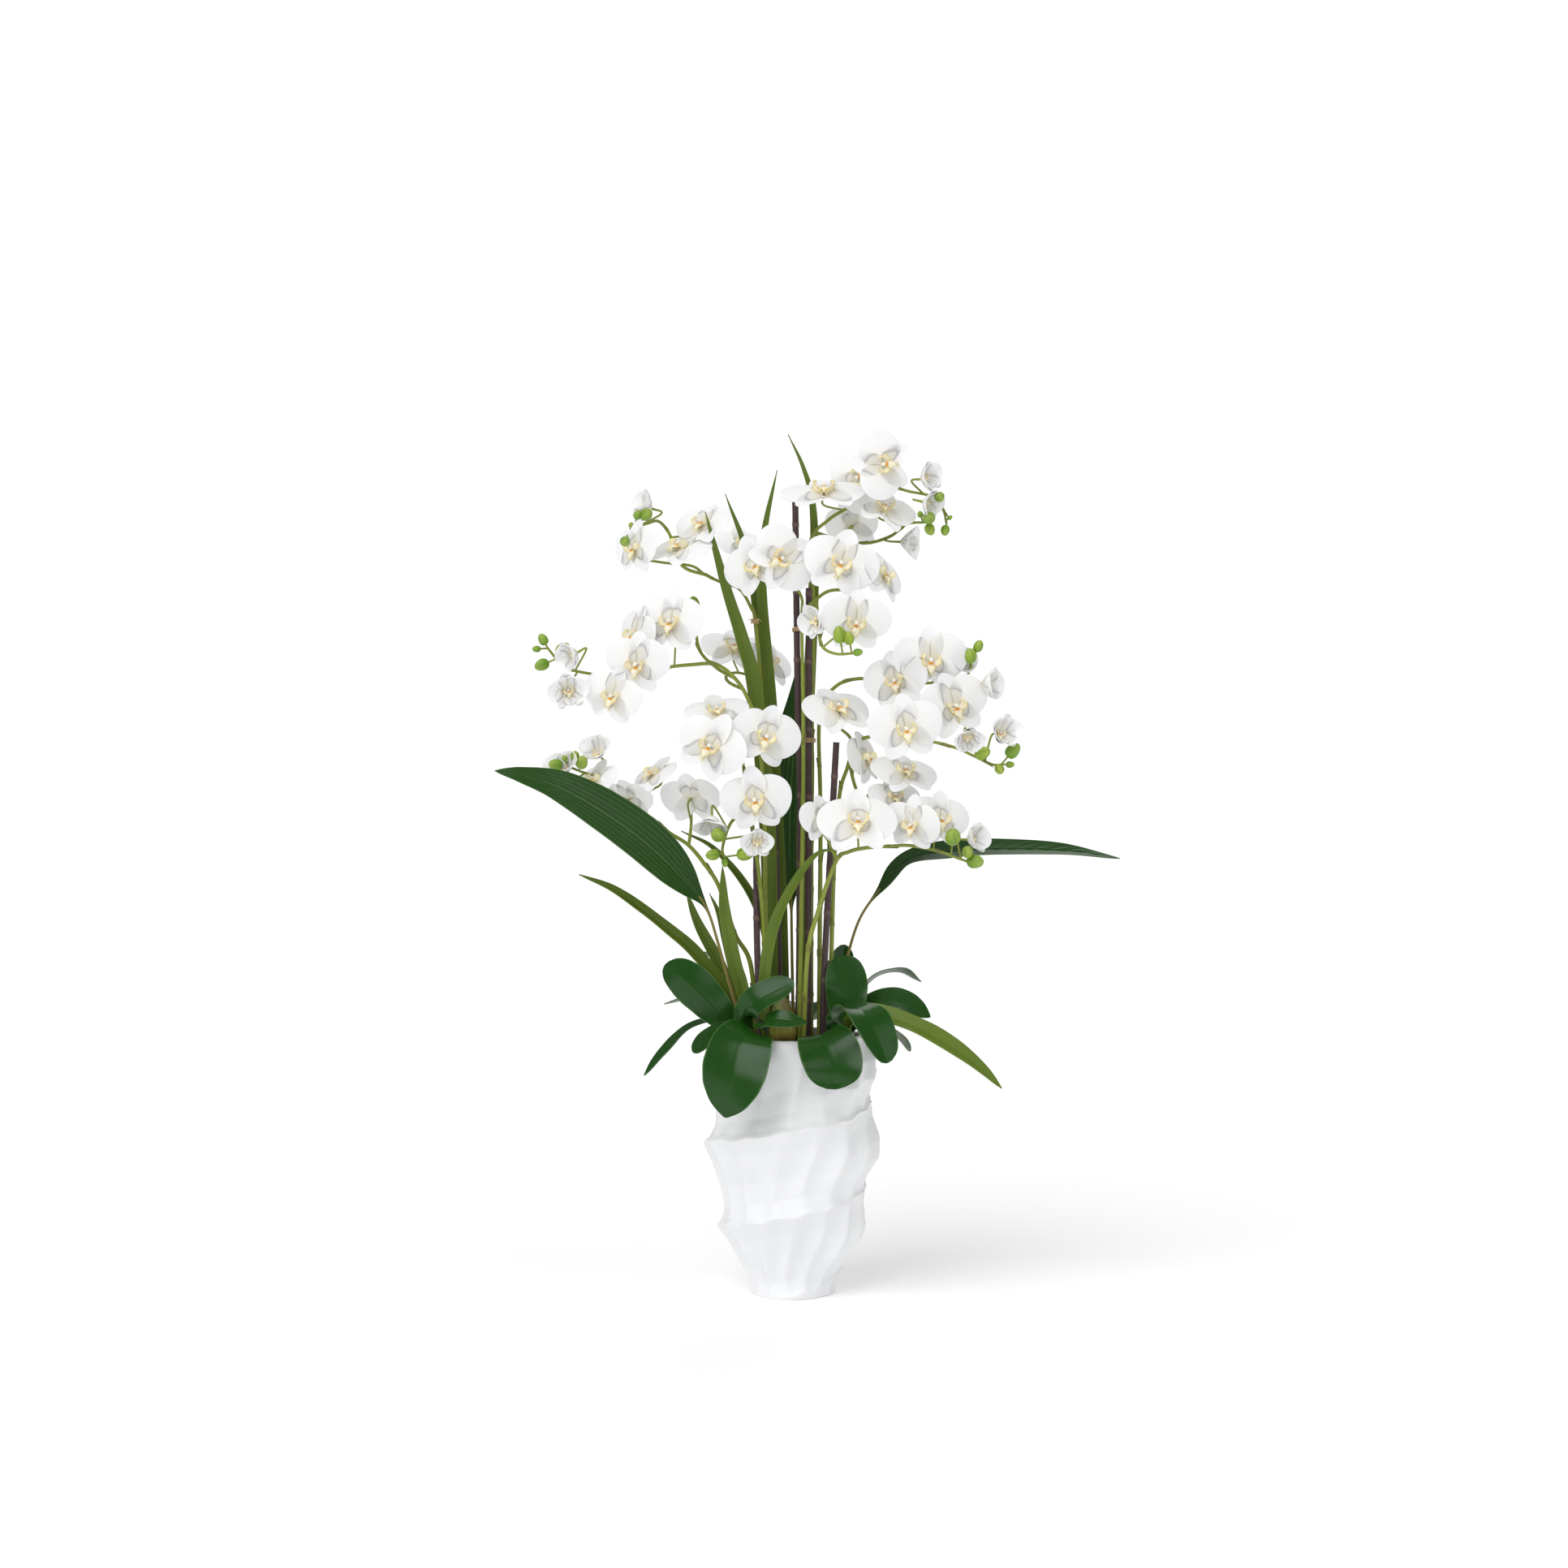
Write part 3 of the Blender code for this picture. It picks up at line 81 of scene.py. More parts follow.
# ---- layout: metres from the soil centre --------------------------------------------
# Blooms: x, y, z, turn to the right, tilt up, roll clockwise (degrees), span in mm, openness.
# Buds: x, y, z, radius in mm.
SPIKES = {
    "spike_crown_front": dict(
        arms=[
            [(0.008, -0.012, 0.0), (0.011, -0.014, 0.134), (0.014, -0.014, 0.363), (0.012, -0.013, 0.525),
             (0.012, -0.016, 0.558), (-0.001, -0.028, 0.577), (-0.020, -0.028, 0.588), (-0.036, -0.022, 0.589)],
            [(0.012, -0.013, 0.540), (0.030, -0.030, 0.556), (0.046, -0.045, 0.565), (0.069, -0.045, 0.567),
             (0.090, -0.035, 0.572), (0.104, -0.030, 0.578)],
            [(0.030, -0.030, 0.556), (0.032, -0.046, 0.526), (0.036, -0.076, 0.496), (0.052, -0.106, 0.484),
             (0.076, -0.118, 0.484)]],
        blooms=[(-0.013, -0.075, 0.602, 5, 0, 60, 90, 1.0), (-0.046, -0.045, 0.596, -20, 5, -25, 88, 1.0),
                (0.059, -0.080, 0.596, 5, 0, 15, 97, 1.0), (0.078, -0.082, 0.524, 0, -15, 5, 88, 1.0),
                (0.030, -0.062, 0.528, -50, -15, -20, 46, 0.6), (0.112, -0.050, 0.584, 55, 20, 20, 78, 0.9)],
        buds=[(0.057, -0.120, 0.506, 9.0), (0.068, -0.122, 0.502, 7.0), (0.079, -0.118, 0.485, 5.0)]),
    "spike_crown_right": dict(
        arms=[
            [(0.024, 0.010, 0.0), (0.024, 0.009, 0.138), (0.025, 0.010, 0.393), (0.027, 0.010, 0.557),
             (0.023, 0.012, 0.631), (0.046, 0.010, 0.659), (0.070, 0.000, 0.673), (0.095, -0.012, 0.688),
             (0.121, -0.020, 0.697), (0.146, -0.022, 0.691), (0.176, -0.030, 0.683), (0.188, -0.030, 0.667),
             (0.192, -0.030, 0.650)],
            [(0.030, 0.012, 0.642), (0.064, 0.024, 0.634), (0.096, 0.020, 0.631), (0.124, 0.005, 0.638),
             (0.144, -0.015, 0.651), (0.168, -0.028, 0.652)]],
        blooms=[(0.111, -0.060, 0.719, 15, 0, -90, 88, 1.0), (0.083, -0.012, 0.708, -15, 5, -110, 88, 1.0),
                (0.160, -0.050, 0.703, 50, 5, -20, 46, 0.45), (0.163, -0.045, 0.675, 50, -15, 0, 42, 0.4),
                (0.039, -0.040, 0.687, 0, 62, 0, 108, 0.95), (0.114, -0.030, 0.669, 25, 45, 25, 86, 0.9),
                (0.077, 0.045, 0.655, 150, 25, 10, 80, 0.95), (0.137, -0.002, 0.630, 70, -5, 90, 46, 0.3)],
        buds=[(0.182, -0.050, 0.681, 7.0), (0.169, -0.050, 0.655, 8.5), (0.171, -0.036, 0.642, 7.0),
              (0.159, -0.036, 0.661, 4.0), (0.138, 0.000, 0.675, 5.0), (0.196, -0.035, 0.657, 3.0),
              (0.190, -0.035, 0.641, 6.0)]),
    "spike_crown_left": dict(
        arms=[
            [(-0.026, 0.026, 0.0), (-0.029, 0.030, 0.136), (-0.031, 0.030, 0.291), (-0.037, 0.029, 0.415),
             (-0.046, 0.024, 0.529), (-0.052, 0.022, 0.549), (-0.066, 0.018, 0.572), (-0.088, 0.014, 0.580),
             (-0.110, 0.008, 0.590), (-0.126, 0.000, 0.600), (-0.159, -0.010, 0.603), (-0.181, -0.012, 0.606)],
            [(-0.110, 0.008, 0.590), (-0.134, 0.012, 0.598), (-0.149, 0.010, 0.615), (-0.154, 0.010, 0.640),
             (-0.168, 0.010, 0.657), (-0.182, 0.005, 0.654), (-0.196, -0.004, 0.648), (-0.206, -0.015, 0.638)],
            [(-0.066, 0.018, 0.572), (-0.080, 0.040, 0.590), (-0.080, 0.064, 0.610)]],
        blooms=[(-0.177, -0.005, 0.672, -60, 20, 10, 46, 0.35), (-0.195, -0.035, 0.619, -45, 0, 5, 78, 0.95),
                (-0.112, -0.010, 0.651, -35, 35, 0, 82, 0.95), (-0.140, -0.020, 0.620, -35, 55, 10, 88, 0.95),
                (-0.064, 0.086, 0.636, 20, 40, 0, 72, 0.9)],
        buds=[(-0.192, -0.030, 0.661, 6.0), (-0.181, -0.034, 0.661, 8.0), (-0.201, -0.022, 0.649, 3.5),
              (-0.205, -0.075, 0.623, 7.0)]),
    "spike_middle_left": dict(
        arms=[
            [(-0.030, 0.004, 0.0), (-0.033, 0.002, 0.138), (-0.035, 0.000, 0.291), (-0.043, 0.000, 0.393),
             (-0.058, 0.000, 0.438), (-0.076, -0.004, 0.463), (-0.097, -0.012, 0.476), (-0.128, -0.015,
                                                                                        0.475),
             (-0.154, -0.020, 0.472), (-0.178, -0.020, 0.467), (-0.206, -0.020, 0.458), (-0.229, -0.020,
                                                                                         0.460),
             (-0.254, -0.018, 0.464), (-0.280, -0.015, 0.470), (-0.293, -0.010, 0.480), (-0.306, -0.010, 0.496)],
            [(-0.072, -0.003, 0.458), (-0.096, 0.006, 0.473), (-0.117, 0.010, 0.496), (-0.123, 0.010, 0.540)],
            [(-0.062, 0.000, 0.444), (-0.080, 0.028, 0.455), (-0.084, 0.062, 0.465), (-0.070, 0.088, 0.470),
             (-0.045, 0.096, 0.464)]],
        blooms=[(-0.150, -0.045, 0.526, -20, 8, 5, 92, 1.0), (-0.195, -0.030, 0.511, -55, 5, 10, 84, 0.9),
                (-0.191, -0.060, 0.474, -18, -12, 8, 88, 0.95), (-0.222, -0.050, 0.435, -20, -5, 15, 82, 0.9),
                (-0.278, -0.035, 0.443, 5, -10, -10, 52, 0.5), (-0.268, -0.034, 0.489, -50, -20, -20, 46,
                                                                0.3),
                (-0.075, 0.104, 0.502, 10, 50, 10, 92, 0.95), (-0.030, 0.108, 0.484, 40, 30, 15, 78, 0.9)],
        buds=[(-0.312, -0.010, 0.507, 6.5), (-0.320, -0.012, 0.495, 4.5), (-0.313, -0.014, 0.475, 8.0),
              (-0.286, -0.020, 0.494, 9.0), (-0.124, 0.010, 0.553, 8.0)]),
    "spike_centre_left": dict(
        arms=[
            [(-0.036, -0.008, 0.0), (-0.035, -0.018, 0.130), (-0.041, -0.030, 0.210), (-0.051, -0.026, 0.281),
             (-0.059, -0.024, 0.332), (-0.065, -0.022, 0.378), (-0.077, -0.020, 0.400)],
            [(-0.051, -0.026, 0.281), (-0.069, -0.036, 0.284), (-0.079, -0.050, 0.272), (-0.086, -0.058, 0.247),
             (-0.084, -0.058, 0.236)]],
        blooms=[(-0.100, -0.080, 0.372, -12, 3, 30, 94, 1.0), (-0.033, -0.070, 0.384, 10, 0, 15, 90, 1.0),
                (-0.093, -0.045, 0.414, -5, 55, -15, 84, 0.9), (-0.045, -0.080, 0.307, -8, -5, -6, 92, 1.0),
                (-0.043, -0.075, 0.258, 0, -20, 0, 44, 0.5), (-0.099, -0.065, 0.286, -10, -55, 0, 48, 0.45)],
        buds=[(-0.091, -0.080, 0.264, 9.5), (-0.098, -0.065, 0.239, 7.5), (-0.083, -0.060, 0.229, 4.5),
              (-0.058, -0.068, 0.240, 9.0)]),
    "spike_lower_left": dict(
        arms=[
            [(-0.044, 0.005, 0.0), (-0.052, 0.001, 0.098), (-0.072, 0.000, 0.138), (-0.092, 0.000, 0.197),
             (-0.112, -0.002, 0.228), (-0.131, -0.005, 0.250), (-0.154, -0.008, 0.265), (-0.177, -0.010,
                                                                                         0.284),
             (-0.195, -0.012, 0.293), (-0.219, -0.015, 0.317), (-0.244, -0.018, 0.334), (-0.265, -0.020,
                                                                                         0.342),
             (-0.280, -0.020, 0.348)],
            [(-0.129, -0.005, 0.249), (-0.127, -0.008, 0.270), (-0.126, -0.012, 0.288)]],
        blooms=[(-0.126, -0.025, 0.308, 165, 30, 0, 80, 0.9), (-0.173, -0.020, 0.337, -50, 50, 0, 76, 0.9),
                (-0.204, -0.020, 0.307, 160, 35, 0, 70, 0.9), (-0.245, -0.028, 0.330, -45, 35, 0, 72, 0.9),
                (-0.241, -0.020, 0.362, -20, 35, 0, 46, 0.3), (-0.282, -0.030, 0.340, -30, 40, 0, 52, 0.5)],
        buds=[(-0.294, -0.035, 0.350, 8.0), (-0.282, -0.040, 0.358, 4.0), (-0.270, -0.035, 0.361, 6.0),
              (-0.261, -0.040, 0.353, 8.5)]),
    "spike_upper_right": dict(
        arms=[
            [(0.034, 0.014, 0.0), (0.035, 0.014, 0.138), (0.036, 0.018, 0.291), (0.034, 0.022, 0.394),
             (0.040, 0.022, 0.430), (0.056, 0.020, 0.450), (0.076, 0.014, 0.458), (0.106, 0.002, 0.458),
             (0.136, -0.008, 0.450), (0.166, -0.015, 0.452), (0.196, -0.020, 0.454), (0.218, -0.025, 0.462),
             (0.222, -0.032, 0.475)]],
        blooms=[(0.170, -0.050, 0.480, 8, -10, 0, 96, 0.95), (0.128, -0.050, 0.454, -20, -5, -10, 84, 0.9),
                (0.200, -0.045, 0.423, 22, -5, -20, 96, 1.0), (0.236, -0.035, 0.450, 60, 0, 10, 50, 0.3),
                (0.205, -0.020, 0.476, 30, 20, 0, 46, 0.35)],
        buds=[(0.221, -0.040, 0.485, 8.5), (0.231, -0.038, 0.497, 6.5)]),
    "spike_middle_right": dict(
        arms=[
            [(0.047, -0.004, 0.0), (0.052, -0.008, 0.210), (0.059, -0.008, 0.309), (0.069, -0.010, 0.346),
             (0.078, -0.012, 0.373), (0.089, -0.015, 0.383), (0.113, -0.022, 0.386), (0.145, -0.035, 0.383),
             (0.175, -0.045, 0.378), (0.204, -0.052, 0.370), (0.225, -0.055, 0.360), (0.247, -0.055, 0.350),
             (0.258, -0.052, 0.350)],
            [(0.078, -0.012, 0.373), (0.071, -0.014, 0.386), (0.059, -0.016, 0.396)],
            [(0.072, -0.010, 0.355), (0.078, 0.000, 0.327), (0.088, 0.005, 0.304), (0.102, 0.002, 0.318),
             (0.122, -0.004, 0.322)]],
        blooms=[(0.138, -0.092, 0.394, 3, -8, -12, 94, 1.0), (0.056, -0.035, 0.418, 20, 45, -15, 94, 0.9),
                (0.213, -0.092, 0.386, 8, -30, 0, 44, 0.4), (0.254, -0.062, 0.388, 30, 10, 10, 50, 0.45),
                (0.091, -0.020, 0.358, 60, 15, -10, 80, 0.9), (0.140, -0.030, 0.340, 20, 50, 5, 88, 0.9),
                (0.127, -0.030, 0.309, 20, 35, 0, 70, 0.9)],
        buds=[(0.234, -0.064, 0.364, 9.0), (0.272, -0.057, 0.367, 9.0), (0.255, -0.064, 0.344, 6.5),
              (0.269, -0.052, 0.350, 4.5)]),
    "spike_lower_right": dict(
        arms=[
            [(0.014, -0.028, 0.0), (0.019, -0.040, 0.114), (0.032, -0.045, 0.168), (0.054, -0.048, 0.230),
             (0.070, -0.046, 0.242), (0.092, -0.044, 0.247), (0.122, -0.044, 0.249), (0.142, -0.046, 0.250),
             (0.164, -0.052, 0.247), (0.184, -0.060, 0.242), (0.206, -0.066, 0.234), (0.218, -0.070, 0.230)],
            [(0.056, -0.048, 0.232), (0.048, -0.046, 0.247), (0.042, -0.046, 0.262)]],
        blooms=[(0.080, -0.085, 0.279, 0, 30, 0, 100, 1.0), (0.036, -0.066, 0.282, 35, 12, 0, 68, 0.9),
                (0.148, -0.070, 0.277, -35, -12, 10, 80, 0.9), (0.182, -0.060, 0.282, 18, 12, 5, 82, 0.9),
                (0.217, -0.062, 0.258, 50, 10, 20, 46, 0.4)],
        buds=[(0.195, -0.098, 0.262, 10.5), (0.214, -0.085, 0.243, 7.5), (0.224, -0.078, 0.231, 9.5)]),
}

CANES = {
    "cane_tall": [(0.008, 0.006, 0.0), (0.010, 0.003, 0.291), (0.007, 0.002, 0.434), (0.004, 0.002, 0.684)],
    "cane_second": [(0.020, -0.004, 0.0), (0.021, -0.003, 0.300), (0.021, -0.003, 0.572)],
    "cane_right": [(0.038, -0.016, 0.0), (0.040, -0.018, 0.089), (0.048, -0.024, 0.248),
                   (0.055, -0.026, 0.378)],
    "cane_left": [(-0.040, -0.022, 0.0), (-0.044, -0.019, 0.135), (-0.045, -0.018, 0.241)],
    "cane_back": [(-0.014, 0.018, 0.0), (-0.019, 0.021, 0.189), (-0.025, 0.021, 0.330)],
}
# Ties: centre and radius of the two members each one goes round.
TIES = {
    "tie_upper_left": ((0.0056, 0.002, 0.520), CANE_R, (0.0120, -0.0130, 0.520), STEM_R * 1.1),
    "tie_upper_right": ((0.021, -0.003, 0.543), CANE_R, (0.0268, 0.010, 0.543), STEM_R),
    "tie_lower": ((0.021, -0.003, 0.381), CANE_R, (0.025, 0.010, 0.381), STEM_R),
    "tie_outer_left": ((-0.0471, 0.0237, 0.532), STEM_R * 1.15, (-0.0471, 0.0237, 0.532), STEM_R * 1.15),
}

# Leaves: spine points, half width and way the upper face looks.
UP_FRONT = (0.0, -0.7, 0.7)
FRONT = (0.0, -1.0, 0.15)
STRAPS = {
    "strap_tall_left": ([(-0.022, 0.013, 0.0), (-0.027, 0.013, 0.138), (-0.032, 0.013, 0.291),
                         (-0.047, 0.014, 0.445), (-0.062, 0.008, 0.506), (-0.084, -0.012, 0.576),
                         (-0.108, -0.034, 0.664)], 0.0105, FRONT),
    "strap_tall_back": ([(-0.016, 0.044, 0.0), (-0.018, 0.052, 0.136), (-0.023, 0.052, 0.291),
                         (-0.032, 0.052, 0.436), (-0.053, 0.050, 0.601), (-0.085, 0.044, 0.696)], 0.0085,
                        FRONT),
    "strap_centre_left": ([(-0.006, 0.036, 0.0), (-0.012, 0.040, 0.136), (-0.020, 0.040, 0.291),
                           (-0.028, 0.042, 0.435), (-0.038, 0.042, 0.559), (-0.036, 0.038, 0.641),
                           (-0.019, 0.028, 0.724)], 0.0085, FRONT),
    "strap_centre": ([(0.010, 0.028, 0.0), (0.012, 0.034, 0.136), (0.014, 0.034, 0.291),
                      (0.021, 0.034, 0.435), (0.028, 0.034, 0.600), (0.026, 0.030, 0.682),
                      (0.014, 0.026, 0.728), (-0.005, 0.018, 0.768)], 0.0080, FRONT),
    "strap_front_arch": ([(-0.034, -0.034, 0.0), (-0.034, -0.044, 0.090), (-0.022, -0.050, 0.152),
                          (0.004, -0.060, 0.206), (0.030, -0.072, 0.240), (0.052, -0.082, 0.246)], 0.0075,
                         UP_FRONT),
    "strap_left_arch": ([(-0.048, 0.015, 0.0), (-0.076, 0.014, 0.058), (-0.108, 0.010, 0.097),
                         (-0.130, 0.010, 0.121), (-0.156, 0.005, 0.143), (-0.188, -0.005, 0.169),
                         (-0.226, -0.015, 0.196), (-0.266, -0.020, 0.213)], 0.0090, UP_FRONT),
    "strap_left_short": ([(-0.043, 0.025, 0.0), (-0.062, 0.026, 0.040), (-0.080, 0.026, 0.071),
                          (-0.098, 0.024, 0.110), (-0.120, 0.022, 0.152), (-0.134, 0.018, 0.191)], 0.0080,
                         FRONT),
    "strap_left_upright": ([(-0.050, -0.010, 0.0), (-0.054, -0.012, 0.030), (-0.064, -0.013, 0.076),
                            (-0.072, -0.015, 0.102), (-0.084, -0.020, 0.167), (-0.087, -0.022, 0.224)],
                           0.0088, FRONT),
    "strap_left_thin": ([(-0.038, 0.036, 0.0), (-0.060, 0.036, 0.042), (-0.074, 0.036, 0.085),
                         (-0.092, 0.036, 0.157), (-0.105, 0.036, 0.187)], 0.0055, FRONT),
    "strap_back_arch": ([(-0.026, 0.056, 0.0), (-0.030, 0.062, 0.114), (-0.052, 0.060, 0.183),
                         (-0.098, 0.052, 0.242), (-0.141, 0.044, 0.266)], 0.0060, UP_FRONT),
    "strap_right_low": ([(0.061, -0.030, 0.0), (0.070, -0.040, 0.030), (0.090, -0.050, 0.044),
                         (0.119, -0.060, 0.040), (0.162, -0.070, 0.024), (0.201, -0.075, 0.001),
                         (0.234, -0.080, -0.024), (0.256, -0.084, -0.046)], 0.0130, UP_FRONT),
}
BROAD_LEAVES = {
    "broad_leaf_left": ([(-0.059, -0.009, 0.0), (-0.066, -0.011, 0.035), (-0.079, -0.015, 0.078),
                         (-0.093, -0.020, 0.129), (-0.106, -0.030, 0.170), (-0.127, -0.045, 0.200),
                         (-0.172, -0.070, 0.248), (-0.223, -0.095, 0.288), (-0.280, -0.118, 0.322),
                         (-0.327, -0.128, 0.337), (-0.358, -0.130, 0.342)], 0.031, (0.25, -0.85, 0.45)),
    "broad_leaf_right": ([(0.048, 0.015, 0.0), (0.056, 0.018, 0.050), (0.071, 0.022, 0.111),
                          (0.087, 0.030, 0.157), (0.113, 0.035, 0.193), (0.148, 0.030, 0.231),
                          (0.208, 0.010, 0.242), (0.277, -0.020, 0.245), (0.345, -0.040, 0.243),
                          (0.405, -0.050, 0.234)], 0.026, (0.05, -0.40, 0.92)),
    "broad_leaf_back": ([(0.002, 0.050, 0.0), (0.000, 0.068, 0.110), (-0.001, 0.076, 0.186),
                         (-0.003, 0.080, 0.270), (0.002, 0.084, 0.364), (0.010, 0.084, 0.437),
                         (0.012, 0.078, 0.488)], 0.030, FRONT),
}
BASE_LEAVES = {
    "leaf_front_left": ([(-0.056, -0.026, 0.0), (-0.066, -0.036, 0.016), (-0.084, -0.046, 0.036),
                         (-0.112, -0.052, 0.066), (-0.136, -0.054, 0.088), (-0.158, -0.052, 0.102)], 0.026,
                        (-0.15, -0.85, 0.5)),
    "leaf_folded": ([(-0.044, -0.036, 0.0), (-0.052, -0.050, 0.018), (-0.058, -0.066, 0.040),
                     (-0.046, -0.078, 0.060), (-0.022, -0.082, 0.074), (0.002, -0.080, 0.084)], 0.019,
                    (0.2, -0.75, 0.65)),
    "leaf_over_rim_left": ([(-0.034, -0.046, 0.0), (-0.040, -0.066, 0.016), (-0.048, -0.090, 0.024),
                            (-0.059, -0.113, 0.015), (-0.069, -0.126, -0.018), (-0.076, -0.128, -0.050),
                            (-0.081, -0.124, -0.076)], 0.040, UP_FRONT),
    "leaf_low_left": ([(-0.053, -0.038, 0.0), (-0.064, -0.046, 0.016), (-0.082, -0.058, 0.024),
                       (-0.102, -0.074, 0.016), (-0.120, -0.090, -0.002)], 0.014, (-0.2, -0.6, 0.8)),
    "leaf_across_front": ([(-0.022, -0.050, 0.0), (-0.030, -0.066, 0.018), (-0.036, -0.084, 0.034),
                           (-0.020, -0.096, 0.040), (0.000, -0.100, 0.038), (0.018, -0.096, 0.036)], 0.013,
                          UP_FRONT),
    "leaf_over_rim_right": ([(0.026, -0.045, 0.0), (0.030, -0.066, 0.014), (0.035, -0.090, 0.021),
                             (0.042, -0.111, 0.008), (0.050, -0.122, -0.016), (0.053, -0.122, -0.042)], 0.038,
                            UP_FRONT),
    "leaf_right_front": ([(0.044, -0.040, 0.0), (0.054, -0.054, 0.036), (0.070, -0.078, 0.054),
                          (0.090, -0.106, 0.046), (0.108, -0.124, 0.010), (0.114, -0.128, -0.010)], 0.028,
                         (0.35, -0.6, 0.7)),
    "leaf_right_upright": ([(0.054, -0.020, 0.0), (0.060, -0.024, 0.024), (0.067, -0.026, 0.056),
                            (0.066, -0.024, 0.086), (0.056, -0.020, 0.110)], 0.027, (0.1, -1.0, 0.1)),
    "leaf_right": ([(0.062, -0.008, 0.0), (0.078, -0.008, 0.030), (0.104, -0.014, 0.052),
                    (0.136, -0.022, 0.054), (0.172, -0.030, 0.036)], 0.022, (0.1, -0.6, 0.8)),
    "leaf_right_thin": ([(0.055, 0.027, 0.0), (0.076, 0.040, 0.046), (0.106, 0.052, 0.080),
                         (0.140, 0.062, 0.086), (0.166, 0.066, 0.072)], 0.015, (0.2, 0.3, 0.9)),
    "leaf_right_under": ([(0.060, 0.004, 0.0), (0.080, 0.012, 0.026), (0.108, 0.022, 0.024),
                          (0.136, 0.030, 0.004), (0.150, 0.034, -0.014)], 0.016, (0.3, 0.2, 0.9)),
    "leaf_left_small": ([(-0.058, 0.024, 0.0), (-0.086, 0.038, 0.036), (-0.124, 0.050, 0.052),
                         (-0.164, 0.060, 0.044)], 0.011, (-0.1, 0.2, 0.9)),
    "leaf_left_low": ([(-0.062, 0.002, 0.0), (-0.090, -0.004, 0.028), (-0.128, -0.014, 0.022),
                       (-0.160, -0.026, -0.008), (-0.184, -0.036, -0.036)], 0.015, (-0.4, -0.2, 0.9)),
    "leaf_right_behind": ([(0.040, 0.037, 0.0), (0.048, 0.050, 0.040), (0.060, 0.060, 0.082),
                           (0.068, 0.062, 0.120)], 0.018, (0.2, -0.9, 0.2)),
    "leaf_left_behind": ([(-0.034, 0.047, 0.0), (-0.064, 0.066, 0.058), (-0.098, 0.080, 0.100),
                          (-0.128, 0.088, 0.108)], 0.012, (-0.2, 0.3, 0.9)),
    "leaf_back": ([(0.012, 0.058, 0.0), (0.016, 0.082, 0.030), (0.020, 0.118, 0.040), (0.024, 0.152, 0.014)],
                  0.027, (0.0, 0.5, 0.85)),
    "leaf_back_left": ([(-0.040, 0.060, 0.0), (-0.054, 0.082, 0.030), (-0.078, 0.112, 0.042),
                        (-0.100, 0.142, 0.020)], 0.024, (-0.3, 0.4, 0.85)),
    "leaf_back_right": ([(0.050, 0.050, 0.0), (0.068, 0.072, 0.032), (0.096, 0.098, 0.046),
                         (0.126, 0.122, 0.026)], 0.025, (0.3, 0.4, 0.85)),
}
BULB_AT = (-0.013, -0.026)
TIE_GAP = 0.0011        # from a stem's skin to the middle of the raffia
PETAL_SHEET = 0.0006    # thickness of a petal
PEDICEL_R = 0.0013      # radius of a flower's stalk


